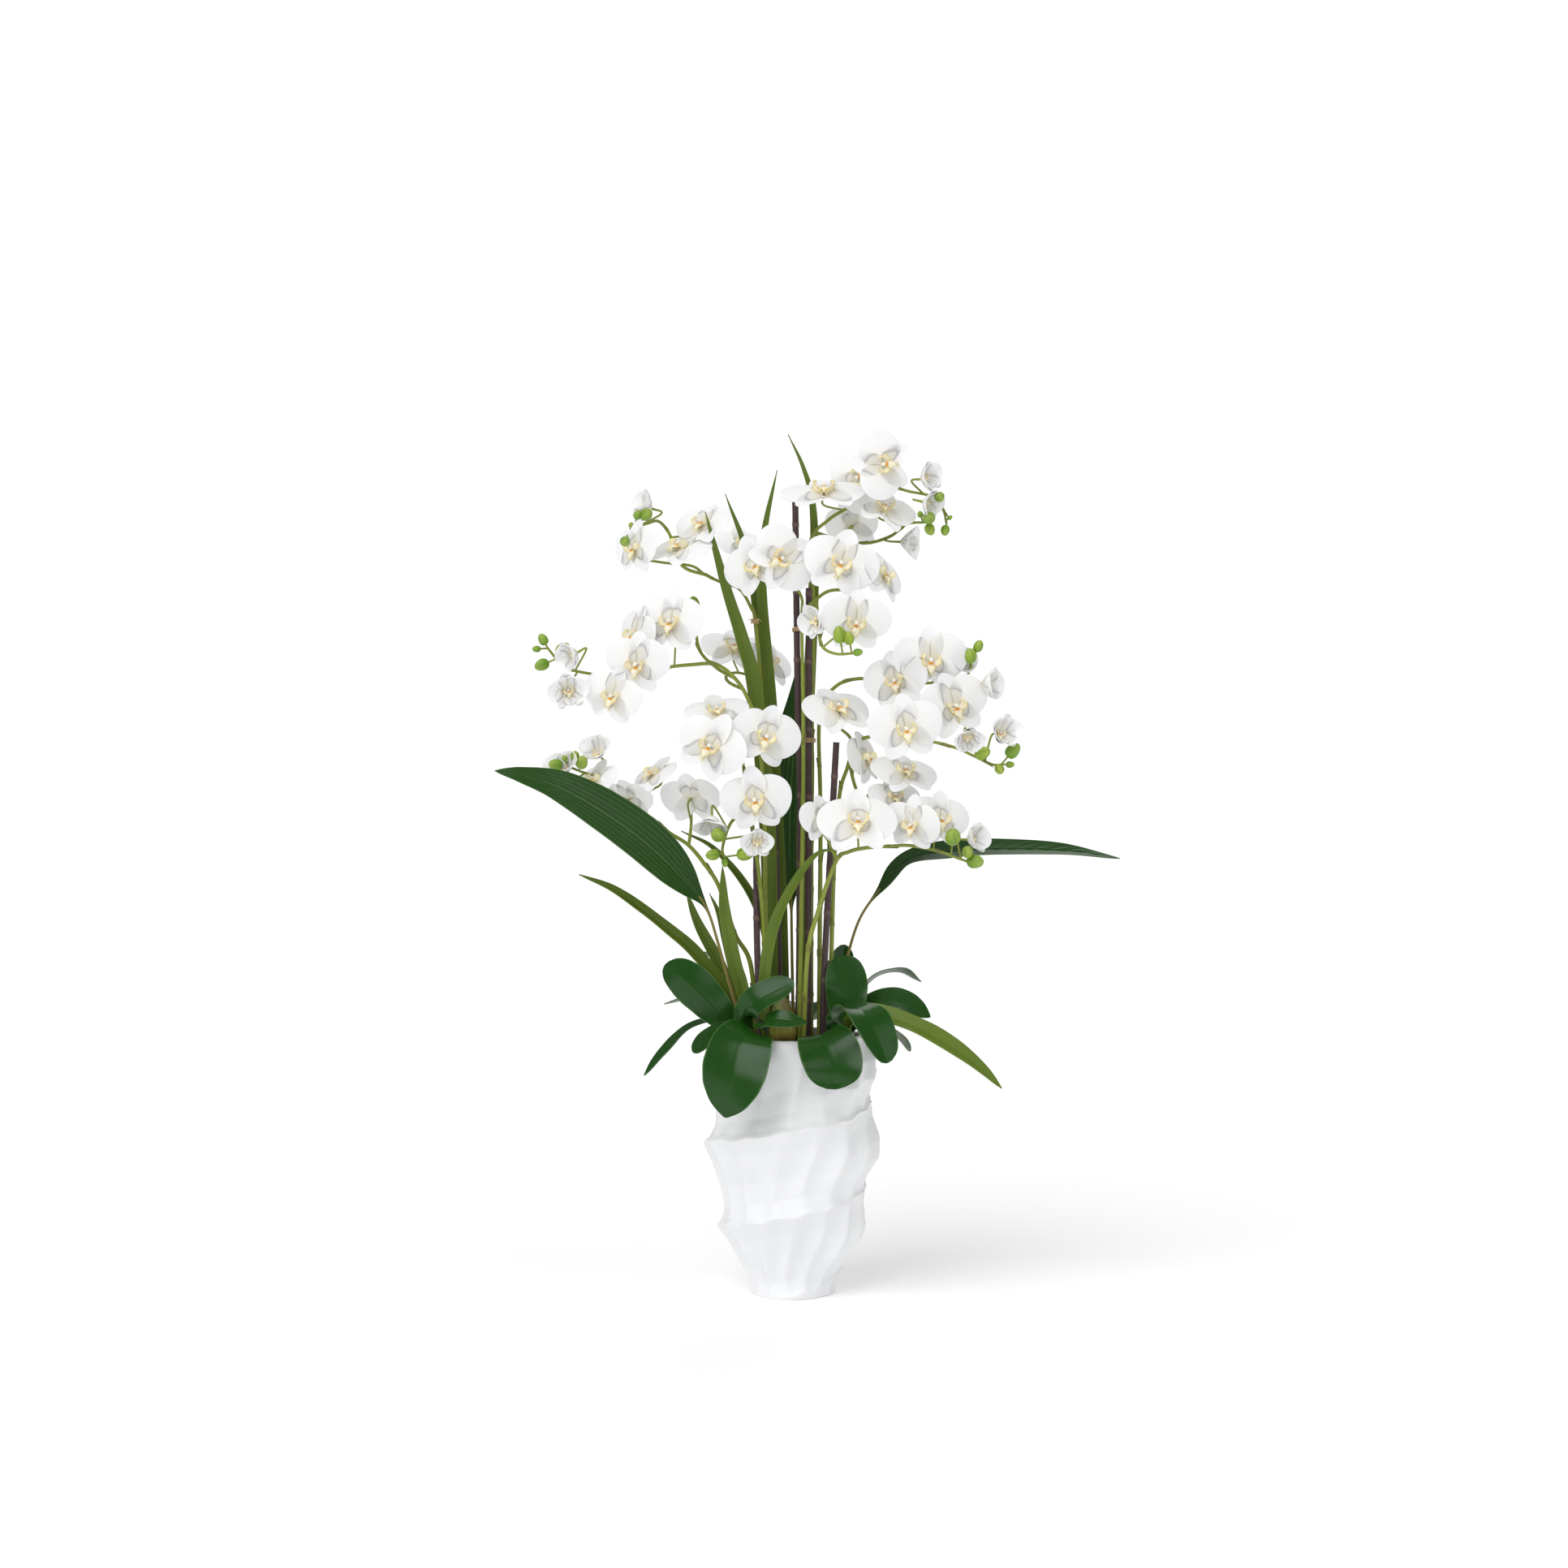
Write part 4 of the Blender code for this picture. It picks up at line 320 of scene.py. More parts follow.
# ---- mesh building ------------------------------------------------------------------
class Shape:
    """Collects closed sheets and tubes, with a metric UV map and a paint attribute, into one mesh."""

    def __init__(self):
        self.points, self.faces, self.uvs, self.paints, self.count = [], [], [], [], 0

    def add(self, points, faces, uvs, paints):
        """Appends points, with faces counted from the first of them."""
        self.faces.extend([tuple(self.count + i for i in face) for face in faces])
        self.points.append(points)
        self.uvs.append(uvs)
        self.paints.append(paints)
        self.count += len(points)

    def sheet(self, grid, thickness, uv, front, back=None):
        """Closed sheet over a grid of points (rows, columns, 3) whose upper side looks along du x dv."""
        rows, cols = grid.shape[:2]
        du = np.gradient(grid, axis=0)
        dv = np.gradient(grid, axis=1)
        normal = np.cross(du, dv)
        normal /= np.maximum(np.linalg.norm(normal, axis=2, keepdims=True), 1e-12)
        top = (grid + normal * thickness / 2).reshape(-1, 3)
        low = (grid - normal * thickness / 2).reshape(-1, 3)
        size = rows * cols
        faces = []
        for r in range(rows - 1):
            for c in range(cols - 1):
                a, b = r * cols + c, (r + 1) * cols + c
                faces.append((a, b, b + 1, a + 1))
                faces.append((size + a, size + a + 1, size + b + 1, size + b))
        for c in range(cols - 1):
            faces.append((c, c + 1, size + c + 1, size + c))
            e = (rows - 1) * cols + c
            faces.append((e + 1, e, size + e, size + e + 1))
        for r in range(rows - 1):
            a = r * cols
            faces.append((a + cols, a, size + a, size + a + cols))
            b = a + cols - 1
            faces.append((b, b + cols, size + b + cols, size + b))
        flat_uv = uv.reshape(-1, 2)
        back = front if back is None else back
        self.add(np.vstack((top, low)), faces, np.vstack((flat_uv, flat_uv)),
                 np.vstack((front.reshape(-1, 4), back.reshape(-1, 4))))

    def tube(self, path, radii, sides=8, paint=(0, 0, 0, 1), paints=None):
        """Closed round tube along a path; the frame is carried so that it does not twist."""
        path = np.asarray(path, float)
        radii = np.broadcast_to(np.asarray(radii, float), (len(path),))
        along = np.gradient(path, axis=0)
        along /= np.maximum(np.linalg.norm(along, axis=1, keepdims=True), 1e-12)
        side = np.cross(along[0], UP if abs(along[0][2]) < 0.9 else np.array((1.0, 0, 0)))
        rings, run = [], 0.0
        uvs, colours = [], []
        angles = np.arange(sides) * 2 * math.pi / sides
        for k, point in enumerate(path):
            side = side - along[k] * side.dot(along[k])
            side /= np.linalg.norm(side)
            other = np.cross(along[k], side)
            rings.append(point + radii[k] * (np.outer(np.cos(angles), side) + np.outer(np.sin(angles),
                                                                                       other)))
            run += np.linalg.norm(path[k] - path[k - 1]) if k else 0.0
            uvs.append(np.column_stack((np.full(sides, run), angles * 0.001)))
            colours.append(np.tile(paint if paints is None else paints[k], (sides, 1)))
        self.rings(rings, uvs, colours)

    def rings(self, rings, uvs, paints):
        """Closed skin over rings of equal length."""
        sides = len(rings[0])
        faces = [tuple(range(sides))[::-1]]
        for row in range(len(rings) - 1):
            for i in range(sides):
                j = (i + 1) % sides
                faces.append((row * sides + i, row * sides + j, (row + 1) * sides + j, (row + 1) * sides + i))
        last = (len(rings) - 1) * sides
        faces.append(tuple(last + i for i in range(sides)))
        self.add(np.vstack(rings), faces, np.vstack(uvs), np.vstack(paints))

    def to_object(self, name, mat):
        """Smooth-shaded mesh object with the surface UV map and the paint attribute."""
        mesh = bpy.data.meshes.new(name)
        points = np.vstack(self.points)
        mesh.from_pydata(points.tolist(), [], self.faces)
        uv_all = np.vstack(self.uvs)
        layer = mesh.uv_layers.new(name="surface")
        corner = np.empty(len(mesh.loops), dtype=np.int32)
        mesh.loops.foreach_get("vertex_index", corner)
        layer.data.foreach_set("uv", uv_all[corner].astype(np.float32).ravel())
        paint = mesh.attributes.new("paint", "FLOAT_COLOR", "POINT")
        paint.data.foreach_set("color", np.vstack(self.paints).astype(np.float32).ravel())
        mesh.polygons.foreach_set("use_smooth", np.ones(len(mesh.polygons), dtype=bool))
        mesh.materials.append(mat)
        mesh.validate()
        mesh.update()
        obj = bpy.data.objects.new(name, mesh)
        bpy.context.scene.collection.objects.link(obj)
        return obj


def settle(obj, slot_name, *nodes):
    """The piece rides on the part and stands for its solid nodes, which it hides; its slot name is not used."""
    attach(obj, "root")
    if nodes:
        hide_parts(*nodes)
    return obj


def smooth_path(points, steps):
    """Catmull-Rom points through a list, evenly spread by length."""
    pts = [np.asarray(p, float) for p in points]
    pts = [pts[0] * 2 - pts[1]] + pts + [pts[-1] * 2 - pts[-2]]
    dense = []
    for k in range(1, len(pts) - 2):
        a, b, c, d = pts[k - 1:k + 3]
        for s in range(16):
            t = s / 16
            dense.append(0.5 * (2 * b + (c - a) * t + (2 * a - 5 * b + 4 * c - d) * t * t
                                + (3 * b - 3 * c + d - a) * t * t * t))
    dense.append(pts[-2])
    dense = np.array(dense)
    run = lengths(dense)
    want = np.linspace(0.0, run[-1], steps + 1)
    return np.column_stack([np.interp(want, run, dense[:, i]) for i in range(3)])


def planted(point):
    """Point measured up from the soil surface, in the shared frame."""
    return np.array((point[0], point[1], SOIL_TOP + point[2]))


def rooted(points):
    """Route from just under the soil surface, upright at first."""
    x, y, _ = points[0]
    return [np.array((x, y, SOIL_TOP - 0.004)),
            np.array((x, y, SOIL_TOP + 0.003))] + [planted(p) for p in points[1:]]


def lengths(path):
    """Distance from the start to each point of a path."""
    return np.concatenate(([0.0], np.cumsum(np.linalg.norm(np.diff(path, axis=0), axis=1))))


def soft(edge_a, edge_b, x):
    """Smooth step from 0 at one edge to 1 at the other."""
    t = np.clip((x - edge_a) / (edge_b - edge_a), 0.0, 1.0)
    return t * t * (3 - 2 * t)


# ---- canes, ties, leaves and bulb ---------------------------------------------------
def node_tree(name, fields):
    """Geometry tree with named inputs; returns the tree and its two ends."""
    tree = bpy.data.node_groups.new(name, "GeometryNodeTree")
    tree.interface.new_socket("Geometry", in_out="INPUT", socket_type="NodeSocketGeometry")
    tree.interface.new_socket("Geometry", in_out="OUTPUT", socket_type="NodeSocketGeometry")
    for title, kind, default in fields:
        socket = tree.interface.new_socket(title, in_out="INPUT", socket_type=kind)
        if default is not None:
            socket.default_value = default
    return tree, tree.nodes.new("NodeGroupInput"), tree.nodes.new("NodeGroupOutput")


def grown_mesh(name, start, tree, inputs, mat):
    """Runs a geometry tree on an object and keeps the result as a plain mesh object."""
    mod = start.modifiers.new("growth", "NODES")
    mod.node_group = tree
    for item in tree.interface.items_tree:
        if item.item_type == "SOCKET" and item.in_out == "INPUT" and item.name in inputs:
            mod[item.identifier] = inputs[item.name]
    depsgraph = bpy.context.evaluated_depsgraph_get()
    depsgraph.update()
    mesh = bpy.data.meshes.new_from_object(start.evaluated_get(depsgraph), depsgraph=depsgraph)
    bpy.data.objects.remove(start, do_unlink=True)
    mesh.name = name
    mesh.materials.clear()
    mesh.materials.append(mat)
    obj = bpy.data.objects.new(name, mesh)
    bpy.context.scene.collection.objects.link(obj)
    return obj


def stored(tree, geometry, domain, name, value):
    """Keeps a number on the geometry under a name that the finish reads."""
    store = tree.nodes.new("GeometryNodeStoreNamedAttribute")
    store.data_type, store.domain = "FLOAT", domain
    store.inputs["Name"].default_value = name
    tree.links.new(geometry, store.inputs["Geometry"])
    tree.links.new(value, store.inputs["Value"])
    return store.outputs[0]


def closed_tree(tree, geometry, start, end):
    """Makes instances real, gives them the finish and joins them to the tree's output."""
    real = tree.nodes.new("GeometryNodeRealizeInstances")
    tree.links.new(geometry, real.inputs[0])
    paint = tree.nodes.new("GeometryNodeSetMaterial")
    tree.links.new(real.outputs[0], paint.inputs["Geometry"])
    tree.links.new(start.outputs["Finish"], paint.inputs["Material"])
    tree.links.new(paint.outputs[0], end.inputs[0])
    return tree


def math_node(tree, operation, a, b=None):
    """Maths node in a geometry tree, from numbers or sockets."""
    node = tree.nodes.new("ShaderNodeMath")
    node.operation = operation
    for socket, value in zip(node.inputs, (a, b)):
        if value is None:
            continue
        if isinstance(value, (int, float)):
            socket.default_value = value
        else:
            tree.links.new(value, socket)
    return node.outputs[0]


def cane_tree():
    """Round cane along a curve, swollen at evenly spaced joints."""
    tree, start, end = node_tree("jointed_cane", [
        ("Radius", "NodeSocketFloat", CANE_R), ("Joint Spacing", "NodeSocketFloat", 0.045),
        ("Joint Swell", "NodeSocketFloat", 0.14), ("Joint Width", "NodeSocketFloat", 0.0022),
        ("Finish", "NodeSocketMaterial", None)])
    new, link = tree.nodes.new, tree.links.new
    resample = new("GeometryNodeResampleCurve")
    resample.mode = "LENGTH"
    resample.inputs["Length"].default_value = 0.0012
    link(start.outputs["Geometry"], resample.inputs["Curve"])
    along = new("GeometryNodeSplineParameter").outputs["Length"]
    pitch = start.outputs["Joint Spacing"]
    wrap = new("ShaderNodeMath")
    wrap.operation = "PINGPONG"
    link(along, wrap.inputs[0])
    link(math_node(tree, "MULTIPLY", pitch, 0.5), wrap.inputs[1])
    share = math_node(tree, "DIVIDE", wrap.outputs[0], start.outputs["Joint Width"])
    bump = math_node(tree, "DIVIDE", 1.0, math_node(tree, "ADD", 1.0, math_node(tree, "POWER", share, 4.0)))
    swell = math_node(tree, "ADD", 1.0, math_node(tree, "MULTIPLY", bump, start.outputs["Joint Swell"]))
    noise = new("ShaderNodeTexNoise")
    noise.noise_dimensions = "1D"
    noise.inputs["Scale"].default_value = 60.0
    link(along, noise.inputs["W"])
    uneven = math_node(tree, "MULTIPLY", math_node(tree, "SUBTRACT", noise.outputs[0], 0.5), 0.12)
    joints = stored(tree, resample.outputs[0], "POINT", "joint", bump)
    radius = math_node(tree, "MULTIPLY", start.outputs["Radius"], math_node(tree, "ADD", swell, uneven))
    ring = new("GeometryNodeCurvePrimitiveCircle")
    ring.inputs["Resolution"].default_value = 14
    ring.inputs["Radius"].default_value = 1.0
    skin = new("GeometryNodeCurveToMesh")
    skin.inputs["Fill Caps"].default_value = True
    link(radius, skin.inputs["Scale"])
    link(joints, skin.inputs["Curve"])
    link(ring.outputs[0], skin.inputs["Profile Curve"])
    smooth = new("GeometryNodeSetShadeSmooth")
    link(skin.outputs[0], smooth.inputs[0])
    return closed_tree(tree, smooth.outputs[0], start, end)


def curve_object(name, path):
    """Straight-segment curve through a path, linked to the scene."""
    curve = bpy.data.curves.new(name, "CURVE")
    curve.dimensions = "3D"
    spline = curve.splines.new("POLY")
    spline.points.add(len(path) - 1)
    for point, place in zip(spline.points, path):
        point.co = (*place, 1.0)
    obj = bpy.data.objects.new(name, curve)
    bpy.context.scene.collection.objects.link(obj)
    return obj


def build_tie(name, spec, mat):
    """Raffia wound round two stems, with a knot in front and two loose tails."""
    rng = np.random.default_rng(len(name) * 7)
    first, first_r, second, second_r = spec
    a, b = planted(first), planted(second)
    heading = math.atan2(b[1] - a[1], b[0] - a[0])
    shape = Shape()
    for turn in range(4):
        height = (turn - 1.5) * 0.0014
        loop = []
        for centre, radius, start in ((b, second_r, -90), (a, first_r, 90)):
            for k in range(13):
                angle = heading + math.radians(start + 180 * k / 12)
                out = np.array((math.cos(angle), math.sin(angle), 0.0))
                loop.append(centre + out * (radius + TIE_GAP) + UP * (height + 0.0004 * rng.uniform(-1, 1)))
        loop.append(loop[0])
        shape.tube(smooth_path(loop, 72), 0.0006, 6, (rng.uniform(0, 1), 0.3, 0, 1))
    front = (a + b) / 2
    front = front + np.array((0.0, -max(first_r, second_r) - TIE_GAP, 0.0))
    knot = [front + np.array((math.sin(t * 1.7) * 0.0022, -0.0012 + math.cos(t * 2.3) * 0.0010,
                              math.cos(t) * 0.0022)) for t in np.linspace(0, 9, 14)]
    shape.tube(smooth_path(knot, 60), 0.0007, 6, (0.5, 0.3, 0, 1))
    for side in (1, -1):
        tail = [front, front + np.array((0.004 * side, -0.003, 0.003 * rng.uniform(0, 1))),
                front + np.array((0.009 * side, -0.0035, -0.002 + 0.003 * rng.uniform(0, 1)))]
        shape.tube(smooth_path(tail, 14), np.linspace(0.0007, 0.0003, 15), 6, (0.7, 0.3, 0, 1))
    return settle(shape.to_object(name + "_raffia", mat), "raffia", name)


# Half width at each mark along a leaf, as a share of its widest
STRAP_SHAPE = ((0.0, 0.10, 0.25, 0.42, 0.58, 0.74, 0.88, 0.96, 1.0),
               (0.30, 0.6, 0.88, 1.0, 0.97, 0.84, 0.54, 0.27, 0.02))
BROAD_SHAPE = ((0.0, 0.37, 0.40, 0.44, 0.50, 0.57, 0.65, 0.74, 0.83, 0.91, 0.97, 1.0),
               (0.05, 0.05, 0.30, 0.62, 0.88, 0.99, 1.0, 0.92, 0.74, 0.46, 0.22, 0.01))
BASE_SHAPE = ((0.0, 0.16, 0.34, 0.52, 0.68, 0.78, 0.87, 0.93, 0.97, 0.988, 1.0),
              (0.10, 0.30, 0.62, 0.89, 1.0, 0.97, 0.86, 0.69, 0.48, 0.32, 0.04))


POINTED_SHAPE = ((0.0, 0.16, 0.34, 0.52, 0.68, 0.80, 0.90, 0.96, 1.0),
                 (0.10, 0.36, 0.72, 0.97, 1.0, 0.87, 0.60, 0.34, 0.03))
POINTED = ("leaf_over_rim_left", "leaf_right", "leaf_across_front", "leaf_left_low", "leaf_left_small",
           "leaf_right_thin")


def rounded(marks, values, t):
    """Smooth curve through the marks of a leaf's outline."""
    fine = np.linspace(0, 1, 401)
    coarse = np.interp(fine, marks, values)
    kernel = np.exp(-np.linspace(-2, 2, 41) ** 2)
    padded = np.concatenate((np.full(20, coarse[0]), coarse, np.full(20, coarse[-1])))
    smooth = np.convolve(padded, kernel / kernel.sum(), "valid")
    end = soft(0.97, 1.0, fine)
    return np.interp(t, fine, smooth * (1 - end) + coarse * end)


def build_leaf(name, spec, shape_of, form, mat, slot_name):
    """Blade over a route: cupped across, with a midrib, side veins and a gently waved edge."""
    route, half_width, looks = spec
    rng = np.random.default_rng(sum(ord(c) * (i + 3) for i, c in enumerate(name)))
    rows, cols = form["rows"], form["cols"]
    t = np.sin(np.linspace(0, 1, rows) * math.pi / 2) ** 1.15
    path = smooth_path(rooted(route), 400)
    run = np.linspace(0, 1, 401)
    path = np.column_stack([np.interp(t, run, path[:, i]) for i in range(3)])
    along = np.gradient(path, axis=0)
    along /= np.linalg.norm(along, axis=1, keepdims=True)
    looks = np.asarray(looks, float)
    looks /= np.linalg.norm(looks)
    wide = np.cross(along, looks)
    wide /= np.linalg.norm(wide, axis=1, keepdims=True)
    face = np.cross(wide, along)
    face /= np.linalg.norm(face, axis=1, keepdims=True)
    share = rounded(*shape_of, t)
    half = np.maximum(half_width * share, 0.0006)
    grown = np.clip((half - 0.0024) / half_width * 2, 0, 1)
    u = np.sin(np.linspace(-1, 1, cols) * math.pi / 2)
    dip = form["trough"] * half * grown
    cup = dip[:, None] * (0.8 * np.abs(u)[None, :] ** form["fold"] - 0.2)
    rib = -form["rib"] * np.exp(-(u[None, :] / 0.07) ** 2) * grown[:, None]
    wave = sum(rng.uniform(0.3, 1.0) * np.sin(t[:, None] * k * 6.3 + rng.uniform(0, 6.3) + 1.7 * np.sign(u)[None, :])
               for k in (0.8, 1.7, 3.1))
    wave = form["wave"] * wave * np.abs(u)[None, :] ** 2 * np.sin(math.pi * t)[:, None] * grown[:, None]
    veins = np.zeros_like(cup)
    if form["side_veins"]:
        phase = t[:, None] * form["side_veins"] - np.abs(u)[None, :] * 1.6
        veins = form["vein_depth"] * np.cos(2 * math.pi * phase) * grown[:, None] * (1 - np.abs(u)[None, :] ** 4)
    if form["grooves"]:
        veins = form["vein_depth"] * np.cos(u[None, :] * form["grooves"] * math.pi) * grown[:, None] * np.ones_like(cup)
    height = cup + rib + wave + veins
    grid = path[:, None] + wide[:, None] * (half[:, None] * u)[..., None] + face[:, None] * height[..., None]
    far = np.broadcast_to(t[:, None], cup.shape)
    uv = np.stack((np.broadcast_to(u * 0.5 + 0.5, cup.shape), far), axis=2)
    tint = rng.uniform(0, 1)
    side = np.broadcast_to(np.abs(u), cup.shape)
    front = np.stack((far, np.full(cup.shape, tint), side, np.ones(cup.shape)), axis=2)
    back = front.copy()
    back[..., 3] = 0.0
    shape = Shape()
    shape.sheet(grid[:, ::-1], form["thick"], uv[:, ::-1], front[:, ::-1], back[:, ::-1])
    if form["thick"] < 0.0021:
        stalk = path[t < form["stalk"]]
        if len(stalk) > 3:
            shape.tube(stalk, 0.0021 * np.linspace(1.15, 0.75, len(stalk)), 10, (-1.0, tint, 0.5, 1.0))
    return settle(shape.to_object(name + "_blade", mat), slot_name, name)


STRAP_FORM = dict(rows=90, cols=19, trough=0.42, rib=0.0006, wave=0.0008, side_veins=0, grooves=7,
                  vein_depth=0.00012, thick=0.0011, stalk=0.0, fold=1.1)
BROAD_FORM = dict(rows=120, cols=25, trough=0.2, rib=0.0012, wave=0.0012, side_veins=26, grooves=0,
                  vein_depth=0.00035, thick=0.0009, stalk=0.405, fold=1.5)
BASE_FORM = dict(rows=54, cols=27, trough=0.22, rib=0.0007, wave=0.0016, side_veins=0, grooves=0,
                 vein_depth=0.0, thick=0.0012, stalk=0.14, fold=1.7)


def build_bulb(mat):
    """Ribbed false bulb with papery scars."""
    x, y = BULB_AT
    heights = np.linspace(0, 1, 40)
    widths = np.interp(heights, (0.0, 0.06, 0.25, 0.5, 0.75, 0.93, 1.0),
                       (0.66, 0.90, 1.0, 0.90, 0.66, 0.44, 0.10))
    shape, rings, uvs, paints = Shape(), [], [], []
    angles = np.arange(72) * 2 * math.pi / 72
    for h, w in zip(heights, widths):
        ribs = 1 + 0.045 * np.cos(angles * 9 + 0.6 * h) * math.sin(math.pi * min(h + 0.1, 1.0)) - 0.02
        scar = 0.03 * soft(0.12, 0.16, h) * (1 - soft(0.16, 0.20, h)) + 0.03 * soft(0.42, 0.45,
                                                                                    h) * (1 - soft(0.45, 0.50,
                                                                                                   h))
        r = BULB_R * w * (ribs + scar)
        rings.append(np.column_stack((x + r * np.cos(angles), y + r * np.sin(angles),
                                      np.full(72, SOIL_TOP + 0.0005 + BULB_HEIGHT * h))))
        uvs.append(np.column_stack((angles / 6.283, np.full(72, h))))
        paints.append(np.column_stack((np.full(72, h), np.full(72, 0.5), np.full(72, min(scar * 30, 1.0)),
                                       np.ones(72))))
    shape.rings(rings, uvs, paints)
    return settle(shape.to_object("pseudobulb_ribbed", mat), "bulb", "pseudobulb")


# ---- pot and soil -------------------------------------------------------------------
def blurred(table, width):
    """Periodic smooth curve through (share, value) pairs."""
    fine = np.arange(400) / 400
    values = np.interp(fine, *zip(*table))
    reach = int(width * 400)
    kernel = np.exp(-np.linspace(-2.2, 2.2, 2 * reach + 1) ** 2)
    kernel /= kernel.sum()
    return fine, np.convolve(np.concatenate((values[-reach:], values, values[:reach])), kernel, "valid")


CRISP_LEDGE = blurred(((0.0, 1.0), (0.06, 0.925), (0.20, 0.86), (0.45, 0.85), (0.80, 0.92), (0.999, 1.0)),
                      0.008)
SOFT_LEDGE = blurred(((0.0, 0.875), (0.04, 0.86), (0.16, 0.89), (0.36, 0.99), (0.56, 0.985), (0.80, 0.90),
                      (0.95, 0.885), (0.999, 0.90)), 0.010)


def pot_envelope(z):
    """Widest radius of the pot at each height."""
    heights = (0.0, 0.02, 0.048, 0.13, 0.20, 0.25, 0.30, 0.44, 0.53, 0.68, 0.83, 1.0)
    widths = (0.0, 0.06, 0.10, 0.40, 0.56, 0.66, 0.73, 0.90, 0.98, 1.0, 0.97, 0.86)
    fine = np.linspace(0, 1, 301)
    table = np.interp(fine, heights, widths)
    kernel = np.exp(-np.linspace(-2, 2, 25) ** 2)
    table = np.convolve(np.pad(table, 12, mode="edge"), kernel / kernel.sum(), "valid")
    return POT_FOOT_R + (POT_BELLY_R - POT_FOOT_R) * np.interp(z / POT_HEIGHT, fine, table)


def pot_radius(angle, z):
    """Outer radius over angle and height: a rising ledge over hollow flutes that lean as they fall."""
    turn = (angle - math.pi) / (2 * math.pi)
    phase = (z - LEDGE_START) / LEDGE_PITCH - turn
    ripple = 0.012 * np.sin(angle * POT_FLUTES + 1.0) + 0.008 * np.sin(angle * 5.0)
    u = (phase + ripple) % 1.0
    crisp = np.interp(u, CRISP_LEDGE[0], CRISP_LEDGE[1], period=1.0)
    gentle = np.interp(u, SOFT_LEDGE[0], SOFT_LEDGE[1], period=1.0)
    right = soft(0.56, 0.90, 0.5 + 0.5 * np.cos(angle))
    band = np.floor(phase + ripple)
    lean = -0.55 * u * np.cos(angle + 0.4) + 0.10 * np.sin(2 * math.pi * u)
    flute = (angle * POT_FLUTES / (2 * math.pi) + lean + 0.37 * band) % 1.0
    hollow = (np.sqrt(np.sin(math.pi * flute) ** 2 + 0.05) - 0.22) * np.sin(math.pi * np.clip(u, 0.03,
                                                                                              0.97)) ** 0.5
    scallop = FLUTE_DEPTH * hollow * (1.25 + 0.1 * right)
    form = crisp * (1 - right) + gentle * right
    form = 1 - (1 - form) * soft(-0.030, 0.020, z)
    radius = pot_envelope(z) * form - scallop * soft(-0.010, 0.035, z)
    mouth = soft(POT_HEIGHT - 0.030, POT_HEIGHT, z)
    return radius * (1 - mouth) + POT_MOUTH_R * mouth


def build_pot(mat):
    """Sculpted outer wall, rounded rim and the inner wall down to the soil."""
    around = 288
    angles = np.arange(around) * 2 * math.pi / around
    heights = np.concatenate(([0.0, 0.0006], np.linspace(0.002, POT_HEIGHT - 0.002, 235)))
    shape, rings, uvs, paints = Shape(), [], [], []

    def ring(radius, z):
        rings.append(np.column_stack((radius * np.cos(angles), radius * np.sin(angles), np.full(around, z))))
        uvs.append(np.column_stack((angles * 0.1, np.full(around, z))))
        paints.append(np.tile((0.0, 0.0, 0.0, 1.0), (around, 1)))

    for z in heights:
        ring(pot_radius(angles, np.full(around, z)) - 0.0008 * (z == 0.0), z)
    for k in range(9):
        a = math.pi * k / 8
        middle = POT_MOUTH_R - POT_WALL / 2
        ring(np.full(around, middle + POT_WALL / 2 * math.cos(a)), POT_HEIGHT - 0.002 + 0.002 * math.sin(a))
    for z in (POT_HEIGHT - 0.006, SOIL_TOP - 0.004, 0.26, 0.20, 0.12, 0.06, 0.016):
        wall = min(pot_radius(angles, np.full(around, z)).min() - 0.006, POT_MOUTH_R - POT_WALL)
        ring(np.full(around, wall), z)
    shape.rings(rings, uvs, paints)
    return settle(shape.to_object("pot_wall", mat), "pot_ceramic", "pot")


